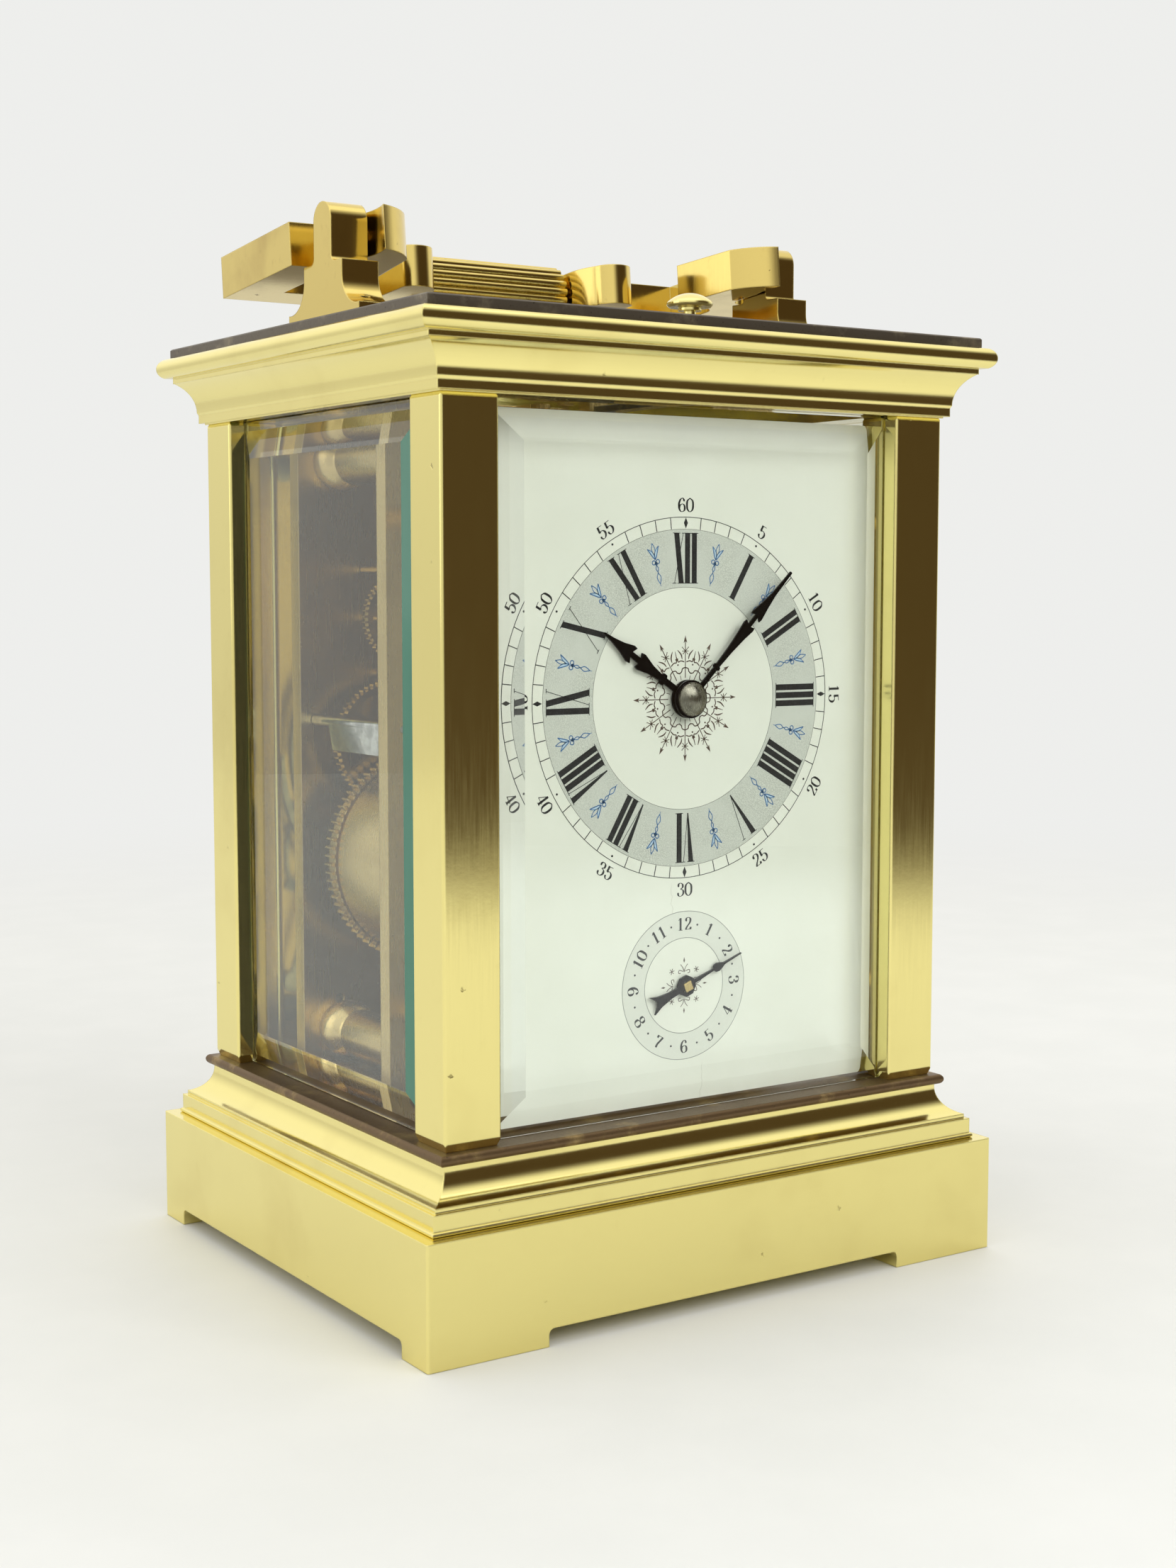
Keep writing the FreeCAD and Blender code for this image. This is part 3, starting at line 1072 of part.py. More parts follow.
def balance():
    """Rimmed balance with timing screws, arms, staff and roller."""
    z0, z1 = BALANCE_RIM
    rim = cut(rod_z(BALANCE_RADIUS, 0, BALANCE_Y, z0, z1),
              rod_z(BALANCE_RADIUS - 0.9, 0, BALANCE_Y, z0 - 1, z1 + 1))
    reach = BALANCE_RADIUS - 0.5
    arms = box(-reach, reach, BALANCE_Y - 0.45, BALANCE_Y + 0.45, z0, z0 + 0.5)
    staff = fuse(rod_z(0.45, 0, BALANCE_Y, 123.4, 128.2), rod_z(0.3, 0, BALANCE_Y, PLATFORM[0], 129.2),
                 rod_z(1.3, 0, BALANCE_Y, 125.2, 125.5))
    screws = []
    for i in range(BALANCE_SCREWS):
        angle = 2 * math.pi * (i + 0.5) / BALANCE_SCREWS
        out = V(math.cos(angle), math.sin(angle), 0)
        start = V(0, BALANCE_Y, (z0 + z1) / 2) + out * (BALANCE_RADIUS * 0.98)
        screws.append(Part.makeCylinder(0.34, 0.9, start, out))
    return fuse(rim, arms, staff, *screws)


def spiral(first_radius, pitch, half_turns, width, ring):
    """Flat spiral as half turns of growing radius, each made and halved by ring()."""
    radius = first_radius
    shift = 0.0
    halves = []
    for i in range(half_turns):
        halves.append(ring(radius - width / 2, radius + width / 2, shift, i % 2 == 0))
        shift += -pitch / 2 if i % 2 == 0 else pitch / 2
        radius += pitch / 2
    return fuse(halves[0], *halves[1:])


def hairspring():
    """Flat spiral spring above the balance."""
    z0, z1 = HAIRSPRING

    def ring(inner, outer, x, rear):
        hoop = cut(rod_z(outer, x, BALANCE_Y, z0, z1), rod_z(inner, x, BALANCE_Y, z0 - 1, z1 + 1))
        y0, y1 = (BALANCE_Y, BALANCE_Y + 9) if rear else (BALANCE_Y - 9, BALANCE_Y)
        return hoop.common(box(-9, 9, y0, y1, z0 - 1, z1 + 1))

    return spiral(0.9, 0.62, 10, 0.12, ring)


def balance_cocks():
    """Cock on two feet over the balance, with the bridge of the escape wheel and lever."""
    z0, z1 = COCK
    arm = extrude_z([(-1.6, BALANCE_Y - 2.0), (1.6, BALANCE_Y - 2.0), (1.8, BALANCE_Y + 1.5),
                     (12.0, BALANCE_Y + 6.2), (12.0, BALANCE_Y + 9.6), (8.0, BALANCE_Y + 9.6),
                     (-1.8, BALANCE_Y + 1.5)], z0, z1)
    foot = box(8.6, 12.0, BALANCE_Y + 6.6, BALANCE_Y + 9.6, PLATFORM[1], z0)
    left, right, half_y = -BRIDGE_HALF_X, BRIDGE_HALF_X, BRIDGE_HALF_Y
    bridge = box(left, right, ESCAPE_Y - half_y, ESCAPE_Y + half_y, *BRIDGE)
    lever_bridge = box(-1.2, 1.2, LEVER_Y - 0.9, ESCAPE_Y, *BRIDGE)
    feet = [box(x, x + 2.4, ESCAPE_Y - half_y, ESCAPE_Y + half_y, PLATFORM[1], BRIDGE[0])
            for x in (left, right - 2.4)]
    body = cut(fuse(arm, foot), rod_z(0.34, 0, BALANCE_Y, z0 - 1, z1 + 1))
    second = cut(fuse(bridge, lever_bridge, *feet),
                 rod_z(0.44, 0, ESCAPE_Y, BRIDGE[0] - 0.1, BRIDGE[1] + 0.1),
                 rod_z(0.30, 0, LEVER_Y, BRIDGE[0] - 0.1, BRIDGE[1] + 0.1))
    return [body, second]


# ------------------------------------------------------------------ gong and hammer

def gong():
    """Coiled gong that ends at a post on the back plate."""
    def ring(inner, outer, x, upper):
        hoop = cut(rod_y(outer, x, GONG_Z, *GONG), rod_y(inner, x, GONG_Z, GONG[0] - 1, GONG[1] + 1))
        z0, z1 = (GONG_Z, GONG_Z + 40) if upper else (GONG_Z - 40, GONG_Z)
        return hoop.common(box(-40, 40, GONG[0] - 1, GONG[1] + 1, z0, z1))

    coil = spiral(GONG_FIRST_RADIUS, GONG_PITCH, 4, GONG_WIDTH, ring)
    post = rod_y(2.4, GONG_END_X, GONG_Z - 1.5, BACK_PLATE[1], GONG[1] + 1.0)
    return fuse(coil, post)


def hammer():
    """Hammer arbor, stem and head beside the gong."""
    px, pz = HAMMER_PIVOT
    y0, y1 = HAMMER
    shaft = fuse(rod_y(HAMMER_ARBOR_RADIUS, px, pz, BACK_PLATE[0] + 0.2, y1),
                 rod_y(1.6, px, pz, BACK_PLATE[1] + 0.3, y1))
    stem = extrude_y([(px - 0.5, pz), (px + 0.5, pz), (HAMMER_HEAD[0] + 0.4, HAMMER_HEAD[1]),
                      (HAMMER_HEAD[0] - 0.4, HAMMER_HEAD[1])], y0 + 0.3, y1 - 0.3)
    head = rod_y(1.7, HAMMER_HEAD[0], HAMMER_HEAD[1], y0 - 0.6, y1 + 0.8)
    return fuse(shaft, stem, head)


# ------------------------------------------------------------------ write every piece

save(plinth(), "base_plinth")
save(base_moulding(), "base_moulding")
save(base_lip(), "base_lip")
for corner, name in zip(CORNERS, CORNER_NAMES):
    save(pillar(*corner), "pillar_" + name)
save(cornice(), "cornice")
save(top_slab(), "top_slab")
save(top_glass(), "glass_top")
save(front_glass(), "glass_front")
save(side_glass(-1), "glass_left")
save(side_glass(1), "glass_right")
save(rear_door(), "door_frame")
save(door_glass(), "door_glass")
save(door_knob(), "door_knob")

right_bracket = bracket()
save(right_bracket, "bracket_right")
save(mirror_x(right_bracket), "bracket_left")
save(case_screws(), "case_screws")
right_arm = handle_arm()
save(right_arm, "handle_arm_right")
save(mirror_x(right_arm), "handle_arm_left")
save(handle_pivots(), "handle_pivots")
save(handle_grip(), "handle_grip")

save(repeat_button(), "repeat_button")
save(button_bush(), "button_bush")
save(repeat_lever(), "repeat_lever")

save(dial_plate(), "dial_plate")
save(dial_feet(), "dial_feet")
save(minute_hand(), "minute_hand")
save(hour_hand(), "hour_hand")
save(alarm_hand(), "alarm_hand")
save(alarm_arbor(), "alarm_arbor")
save(hand_boss(), "hand_boss")

save(front_plate(), "plate_front")
save(back_plate(), "plate_back")
save(movement_pillars(), "movement_pillars")
save(pillar_plate_screws(), "movement_screws")
save(seat_board(), "seat_board")
save(lifting_lever(), "lifting_lever")

save(barrel(GOING_BARREL, INTERMEDIATE), "barrel_going")
save(barrel(STRIKE_BARREL, STRIKE_TWO), "barrel_strike")
save(winding_arbor(GOING_BARREL), "winding_arbor_going")
save(winding_arbor(STRIKE_BARREL), "winding_arbor_strike")
save(clicks(), "clicks")
for name, shape in going_train().items():
    save(shape, name)
for name, shape in strike_train().items():
    save(shape, name)
hour_wheel, minute_wheel = motion_work()
save(hour_wheel, "hour_wheel")
save(minute_wheel, "minute_wheel")

save(group([platform()] + balance_cocks()), "platform")
save(escape_wheel(), "escape_wheel")
save(pallet_lever(), "pallet_lever")
save(group([balance(), hairspring()]), "balance_wheel")

save(gong(), "gong")
save(hammer(), "hammer")
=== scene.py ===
import math

import bmesh
import bpy
from mathutils import Matrix, Vector


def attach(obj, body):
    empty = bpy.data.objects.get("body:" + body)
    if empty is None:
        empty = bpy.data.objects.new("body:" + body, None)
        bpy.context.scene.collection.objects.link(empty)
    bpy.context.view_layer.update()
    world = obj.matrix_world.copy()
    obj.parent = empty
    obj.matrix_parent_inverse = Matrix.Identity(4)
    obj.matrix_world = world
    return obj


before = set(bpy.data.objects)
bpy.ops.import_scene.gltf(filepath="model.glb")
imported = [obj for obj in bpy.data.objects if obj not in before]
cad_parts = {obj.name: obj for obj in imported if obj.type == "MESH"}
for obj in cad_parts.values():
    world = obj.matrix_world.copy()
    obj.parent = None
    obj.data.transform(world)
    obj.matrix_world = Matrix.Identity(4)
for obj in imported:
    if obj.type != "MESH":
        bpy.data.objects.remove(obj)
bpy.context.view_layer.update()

MM = 0.001

# ---- camera: three quarter view from the front left, a little above ----
CAMERA_PLACE = Vector((-0.17728, -0.27354, 0.09892))
CAMERA_TURN = 33.5126
CAMERA_TILT = 5.2795
CAMERA_LENS = 49.85

# ---- dial, millimetres ----
ENAMEL_FRONT = -29.2
TIME_CENTRE = (0.0, 83.0)
ALARM_CENTRE = (0.0, 42.76)
BAND = (15.4, 23.35)
NUMERAL = (15.95, 22.8)
MINUTE_RING = (23.4, 25.0)
ALARM_RING = (6.75, 10.5)
ALARM_FIGURES_RADIUS = 8.7
MINUTE_FIGURES_RADIUS = 26.65
STROKE = 0.85
HAIRLINE = 0.045
SERIF = 0.10

# ---- light and surround ----
BACKDROP = (0.855, 0.858, 0.840)
LOW_SURROUND = (0.74, 0.73, 0.70)
HIGH_SURROUND = (1.10, 1.09, 1.05)
DARK_SIDE = Vector((0.56, -0.80, 0.16)).normalized()
ROOM_TONE = (0.080, 0.055, 0.032)
FLOOR_RADIUS = 0.85
FLOOR_DROP = 0.00005
FLOOR_FADES_OUT = (260.0, 620.0)
FLOOR_DARKENS = (330.0, 540.0)
# name, place, aim, size in metres, watts, whether polished surfaces show it
LIGHTS = (
    ("overhead", (-0.1, -0.1, 0.9), (0, 0, 0.05), (1.0, 1.0), 1.2, True),
    ("left_back", (-0.9, 0.35, 0.45), (0, 0, 0.08), (0.8, 0.8), 1.5, True),
    ("dial_fill", (0.25, -0.75, 0.55), (0, 0, 0.08), (0.7, 0.5), 4.2, False),
)


# ------------------------------------------------------------------ node helpers

class NodeTree:
    """Short names for building one node tree."""

    def __init__(self, owner):
        owner.use_nodes = True
        self.tree = owner.node_tree
        self.tree.nodes.clear()

    def node(self, kind, inputs=None, **settings):
        made = self.tree.nodes.new("ShaderNode" + kind)
        for key, value in settings.items():
            setattr(made, key, value)
        for key, value in (inputs or {}).items():
            self.feed(made.inputs[key], value)
        return made

    def feed(self, socket, value):
        if isinstance(value, bpy.types.NodeSocket):
            self.tree.links.new(value, socket)
        elif isinstance(value, (tuple, list)) and len(value) == 3 and socket.type == "RGBA":
            socket.default_value = tuple(value) + (1.0,)
        else:
            socket.default_value = value

    def math(self, operation, a, b=0.0, c=0.0, clamp=False):
        made = self.node("Math", {0: a, 1: b, 2: c}, operation=operation, use_clamp=clamp)
        return made.outputs[0]

    def mix(self, share, a, b, blend="MIX"):
        made = self.node("Mix", data_type="RGBA", blend_type=blend)
        for key, value in ((0, share), (6, a), (7, b)):
            self.feed(made.inputs[key], value)
        return made.outputs[2]

    def ramp(self, value, low, high):
        """0 below low and 1 above high, smooth between."""
        made = self.node("MapRange", {"Value": value, "From Min": low, "From Max": high},
                         interpolation_type="SMOOTHSTEP")
        return made.outputs["Result"]


class Shader(NodeTree):
    """One node material, in millimetres of the object's own frame."""

    def __init__(self, name):
        self.material = bpy.data.materials.new(name)
        super().__init__(self.material)
        self.output = self.tree.nodes.new("ShaderNodeOutputMaterial")

    def place(self, stretch=(1.0, 1.0, 1.0)):
        """Object position in millimetres, stretched per axis."""
        coords = self.node("TexCoord").outputs["Object"]
        scale = tuple(s / MM for s in stretch)
        return self.node("VectorMath", {0: coords, 1: scale}, operation="MULTIPLY").outputs[0]

    def noise(self, scale, detail=3.0, stretch=(1.0, 1.0, 1.0), rough=0.55):
        made = self.node("TexNoise", {"Vector": self.place(stretch), "Scale": scale, "Detail": detail,
                                      "Roughness": rough})
        return made.outputs["Fac"]

    def bump(self, height, distance, strength=1.0, normal=None):
        inputs = {"Height": height, "Distance": distance * MM, "Strength": strength}
        if normal is not None:
            inputs["Normal"] = normal
        return self.node("Bump", inputs).outputs["Normal"]

    def principled(self, **inputs):
        named = {key.replace("_", " "): value for key, value in inputs.items()}
        return self.node("BsdfPrincipled", named).outputs[0]

    def finish(self, surface, volume=None):
        self.tree.links.new(surface, self.output.inputs["Surface"])
        if volume is not None:
            self.tree.links.new(volume, self.output.inputs["Volume"])
        return self.material


def brass(name, colour, dark, roughness, grain=(1.0, 1.0, 0.04), tarnish=0.14, pits=0.5, edge=0.25):
    """Polished or satin brass: grain lines, cloudy tarnish, dark pits and softened edges."""
    s = Shader(name)
    cloud = s.noise(0.055, 4.0)
    mottle = s.noise(0.6, 5.0, rough=0.65)
    lines = s.noise(3.2, 2.0, stretch=grain)
    spots = s.node("TexVoronoi", {"Vector": s.place(), "Scale": 0.22, "Randomness": 1.0},
                   feature="F1").outputs["Distance"]
    ragged = s.math("ADD", spots, s.math("MULTIPLY", s.noise(2.4, 3.0), 0.28))
    picked = s.ramp(s.noise(0.09, 1.0), 0.55, 0.62)
    pit = s.math("MULTIPLY", s.ramp(ragged, 0.22, 0.17), s.math("MULTIPLY", picked, pits))
    stain = s.math("MULTIPLY", s.ramp(cloud, 0.5, 0.75), tarnish)
    stain = s.math("ADD", stain, s.math("MULTIPLY", s.ramp(mottle, 0.58, 0.8), tarnish * 0.5), clamp=True)
    colour_out = s.mix(stain, colour, dark)
    colour_out = s.mix(pit, colour_out, tuple(c * 0.25 for c in dark))
    rough = s.math("ADD", s.math("MULTIPLY", lines, 0.10), roughness - 0.05)
    rough = s.math("ADD", rough, s.math("MULTIPLY", stain, 0.18))
    rough = s.math("ADD", rough, s.math("MULTIPLY", pit, 0.4), clamp=True)
    rounded = s.node("Bevel", {"Radius": edge * MM}, samples=4).outputs["Normal"]
    fine = s.bump(lines, 0.004, 0.35, rounded)
    wavy = s.bump(mottle, 0.010, 0.30, fine)
    normal = s.bump(pit, -0.08, 0.6, wavy)
    surface = s.principled(Base_Color=colour_out, Metallic=1.0, Roughness=rough, Normal=normal)
    return s.finish(surface)


def patina(name, dull, worn_through):
    """Unpolished brass: brown oxide with worn brighter patches."""
    s = Shader(name)
    cloud = s.noise(0.16, 5.0, rough=0.6)
    grit = s.noise(2.2, 4.0, rough=0.7)
    worn = s.ramp(cloud, 0.52, 0.72)
    colour = s.mix(worn, dull, worn_through)
    colour = s.mix(s.ramp(grit, 0.60, 0.75), colour, (0.035, 0.026, 0.02))
    rough = s.math("ADD", s.math("MULTIPLY", grit, 0.2), 0.32)
    rounded = s.node("Bevel", {"Radius": 0.2 * MM}, samples=4).outputs["Normal"]
    normal = s.bump(grit, 0.03, 0.5, rounded)
    surface = s.principled(Base_Color=colour, Metallic=0.75, Roughness=rough, Normal=normal)
    return s.finish(surface)


def steel(name, colour, roughness, blue=0.0):
    """Polished steel, with a blued or grey film and fine scratches."""
    s = Shader(name)
    cloud = s.noise(0.5, 3.0)
    lines = s.noise(6.0, 2.0, stretch=(1.0, 1.0, 0.1))
    tint = s.mix(s.ramp(cloud, 0.35, 0.7), colour, tuple(c * 0.6 for c in colour))
    tint = s.mix(s.math("MULTIPLY", s.ramp(cloud, 0.55, 0.75), blue), tint, (0.020, 0.012, 0.018))
    rough = s.math("ADD", s.math("MULTIPLY", lines, 0.12), roughness)
    rounded = s.node("Bevel", {"Radius": 0.08 * MM}, samples=4).outputs["Normal"]
    normal = s.bump(lines, 0.004, 0.4, rounded)
    surface = s.principled(Base_Color=tint, Metallic=1.0, Roughness=rough, Normal=normal)
    return s.finish(surface)


GLASS_IOR = 1.52


def glass(name, bevel_tint=0.0, bevel_tilt=0.0, mirror=0.5):
    """Clear bevelled plate glass, open to shadow rays, with faint smears and specks of dust.

    bevel_tint greens the upright bevels that face the front, as light running inside thick glass does.
    bevel_tilt shades the left bevel as if it were steeper, so that it repeats more of the dial.
    mirror is the strength of the reflection, 0.5 being that of plain glass.
    """
    s = Shader(name)
    smear = s.noise(0.12, 4.0, stretch=(1.0, 1.0, 0.5))
    specks = s.noise(5.0, 2.0)
    rough = s.math("MULTIPLY", s.ramp(smear, 0.66, 0.90), 0.006)
    facing = s.node("NewGeometry").outputs["True Normal"]
    axes = s.node("SeparateXYZ", {0: facing})
    across, ahead = axes.outputs["X"], axes.outputs["Y"]
    base = s.node("NewGeometry").outputs["Normal"]
    if bevel_tilt:
        left_bevel = s.math("MULTIPLY", s.ramp(s.math("MULTIPLY", across, -1.0), 0.15, 0.20),
                            s.ramp(s.math("MULTIPLY", ahead, -1.0), 0.80, 0.85))
        amount = s.math("MULTIPLY", across, s.math("MULTIPLY", left_bevel, bevel_tilt))
        lean = s.node("CombineXYZ", {0: amount})
        leaned = s.node("VectorMath", {0: base, 1: lean.outputs[0]}, operation="ADD").outputs[0]
        base = s.node("VectorMath", {0: leaned}, operation="NORMALIZE").outputs[0]
    normal = s.bump(s.noise(0.05, 1.0), 0.01, 0.10, base)
    clear = s.principled(Base_Color=(0.985, 0.99, 0.985), Roughness=rough, IOR=GLASS_IOR,
                         Transmission_Weight=1.0, Specular_IOR_Level=mirror, Normal=normal)
    dust = s.node("BsdfDiffuse", {"Color": (0.8, 0.8, 0.78)}).outputs[0]
    share = s.math("MULTIPLY", s.ramp(specks, 0.74, 0.80), 0.10)
    surface = s.node("MixShader", {0: share, 1: clear, 2: dust}).outputs[0]
    if bevel_tint:
        bevel = s.math("MULTIPLY", s.ramp(s.math("MULTIPLY", ahead, -1.0), 0.15, 0.22),
                       s.ramp(s.math("ABSOLUTE", across), 0.80, 0.85))
        streaks = s.noise(0.10, 3.0, stretch=(1.0, 1.0, 0.15))
        depth = s.mix(streaks, (0.055, 0.190, 0.135), (0.110, 0.300, 0.220))
        green = s.principled(Base_Color=depth, Roughness=0.12, IOR=GLASS_IOR)
        share = s.math("MULTIPLY", bevel, bevel_tint)
        surface = s.node("MixShader", {0: share, 1: surface, 2: green}).outputs[0]
    path = s.node("LightPath")
    through = s.node("BsdfTransparent", {"Color": (0.965, 0.965, 0.955)}).outputs[0]
    surface = s.node("MixShader", {0: path.outputs["Is Shadow Ray"], 1: surface, 2: through}).outputs[0]
    volume = s.node("VolumeAbsorption", {"Color": (0.30, 0.72, 0.56), "Density": 26.0}).outputs[0]
    return s.finish(surface, volume)


def enamel(name):
    """Glossy fired enamel with faint mottling, specks and two hairline cracks."""
    s = Shader(name)
    cloud = s.noise(0.07, 3.0)
    speck = s.noise(3.2, 2.0)
    split = s.node("SeparateXYZ", {0: s.place()})
    x, z = split.outputs["X"], split.outputs["Z"]
    wander = s.math("MULTIPLY", s.math("SUBTRACT", s.noise(0.35, 3.0, stretch=(0.0, 0.0, 1.0)), 0.5), 3.0)
    colour = s.mix(s.ramp(cloud, 0.3, 0.8), (0.885, 0.885, 0.785), (0.850, 0.850, 0.745))
    colour = s.mix(s.math("MULTIPLY", s.ramp(speck, 0.76, 0.82), 0.35), colour, (0.36, 0.33, 0.27))
    for centre, low, high in ((-2.2, 52.6, 57.8), (3.2, 27.0, 32.0)):
        away = s.math("ABSOLUTE", s.math("SUBTRACT", s.math("ADD", x, wander), centre))
        inside = s.math("MULTIPLY", s.ramp(z, low, low + 0.5), s.ramp(z, high, high - 1.5))
        crack = s.math("MULTIPLY", s.ramp(away, 0.07, 0.02), inside)
        colour = s.mix(s.math("MULTIPLY", crack, 0.35), colour, (0.42, 0.38, 0.30))
    normal = s.bump(cloud, 0.05, 0.12)
    surface = s.principled(Base_Color=colour, Roughness=s.math("ADD", s.math("MULTIPLY", speck, 0.1), 0.12),
                           IOR=1.5, Coat_Weight=0.3, Coat_Roughness=0.05, Normal=normal)
    return s.finish(surface)


def ink(name, colour, faded):
    """Fired printing ink, a little uneven."""
    s = Shader(name)
    share = s.ramp(s.noise(2.6, 3.0), 0.45, 0.75)
    surface = s.principled(Base_Color=s.mix(share, colour, faded), Roughness=s.math(
        "ADD", s.math("MULTIPLY", s.noise(4.0), 0.15), 0.28), IOR=1.5)
    return s.finish(surface)


def stippled(name):
    """Light grey band of fine printed dots."""
    s = Shader(name)
    grain = s.noise(6.5, 3.0, rough=0.7)
    cloud = s.noise(0.12, 3.0)
    colour = s.mix(s.ramp(grain, 0.40, 0.62), (0.50, 0.51, 0.45), (0.72, 0.73, 0.65))
    colour = s.mix(s.ramp(cloud, 0.35, 0.75), colour, (0.66, 0.67, 0.60))
    surface = s.principled(Base_Color=colour, Roughness=s.math("ADD", s.math("MULTIPLY", grain, 0.1), 0.2),
                           IOR=1.5)
    return s.finish(surface)


# ------------------------------------------------------------------ materials on the CAD nodes

BRIGHT = (0.900, 0.790, 0.315)
DEEP = (0.500, 0.350, 0.090)
MATERIALS = {
    "brass_upright": brass("brass_upright", BRIGHT, DEEP, 0.13),
    "brass_front": brass("brass_front", BRIGHT, DEEP, 0.20, grain=(0.04, 1.0, 1.0), pits=0.35),
    "brass_moulded": brass("brass_moulded", BRIGHT, DEEP, 0.12, grain=(0.05, 0.05, 1.0), pits=0.8),
    "brass_handle": brass("brass_handle", (0.72, 0.56, 0.180), (0.32, 0.19, 0.048), 0.13, tarnish=0.45),
    "brass_inside": brass("brass_inside", (0.70, 0.53, 0.23), (0.26, 0.16, 0.065), 0.26, tarnish=0.3,
                          pits=0.2),
    "brass_gilt": brass("brass_gilt", (0.70, 0.54, 0.24), (0.30, 0.19, 0.08), 0.22, pits=0.15, edge=0.05),
    "patina_grey": patina("patina_grey", (0.125, 0.105, 0.080), (0.27, 0.23, 0.16)),
    "patina_brown": patina("patina_brown", (0.150, 0.095, 0.045), (0.34, 0.24, 0.10)),
    "steel": steel("steel", (0.46, 0.45, 0.44), 0.16),
    "bright_steel": steel("bright_steel", (0.74, 0.74, 0.73), 0.07),
    "aged_steel": steel("aged_steel", (0.28, 0.26, 0.21), 0.22),
    "blued": steel("blued", (0.010, 0.009, 0.013), 0.24, blue=0.6),
    "glass": glass("glass"),
    "glass_side": glass("glass_side", bevel_tint=0.85, mirror=0.30),
    "glass_front": glass("glass_front", bevel_tilt=2.0),
    "enamel": enamel("enamel"),
    "ink_black": ink("ink_black", (0.012, 0.012, 0.014), (0.03, 0.03, 0.032)),
    "ink_brown": ink("ink_brown", (0.085, 0.050, 0.035), (0.16, 0.105, 0.075)),
    "ink_blue": ink("ink_blue", (0.055, 0.155, 0.36), (0.11, 0.25, 0.46)),
    "ink_pale_blue": ink("ink_pale_blue", (0.45, 0.60, 0.72), (0.55, 0.68, 0.76)),
    "ink_grey": ink("ink_grey", (0.20, 0.20, 0.17), (0.30, 0.30, 0.26)),
    "alarm_band": ink("alarm_band", (0.77, 0.775, 0.69), (0.80, 0.805, 0.72)),
    "band": stippled("band"),
}

LOOKS = {
    "brass_upright": ["pillar_front_left", "pillar_front_right", "pillar_back_left", "pillar_back_right",
                      "door_frame", "door_knob"],
    "brass_front": ["base_plinth"],
    "brass_moulded": ["base_moulding", "cornice", "button_bush", "repeat_button"],
    "brass_handle": ["bracket_left", "bracket_right", "handle_arm_left", "handle_arm_right", "handle_grip",
                     "handle_pivots"],
    "brass_inside": ["plate_front", "plate_back", "movement_pillars", "seat_board", "dial_feet", "platform",
                     "barrel_going", "barrel_strike", "alarm_arbor"],
    "brass_gilt": ["centre_wheel", "hour_wheel", "minute_wheel", "intermediate_wheel", "third_wheel",
                   "contrate_wheel", "escape_wheel", "balance_wheel", "strike_second_wheel",
                   "strike_third_wheel", "strike_warning_wheel", "strike_fly"],
    "patina_grey": ["top_slab"],
    "patina_brown": ["base_lip"],
    "steel": ["case_screws", "movement_screws", "clicks", "pallet_lever", "hammer", "repeat_lever",
              "gong", "winding_arbor_going", "winding_arbor_strike"],
    "bright_steel": ["lifting_lever"],
    "aged_steel": ["hand_boss"],
    "blued": ["hour_hand", "minute_hand", "alarm_hand"],
    "glass": ["glass_top", "door_glass"],
    "glass_side": ["glass_left", "glass_right"],
    "glass_front": ["glass_front"],
    "enamel": ["dial_plate"],
}


def dress_cad_nodes():
    for look, names in LOOKS.items():
        for name in names:
            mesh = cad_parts[name].data
            mesh.materials.clear()
            mesh.materials.append(MATERIALS[look])


# ------------------------------------------------------------------ printed dial

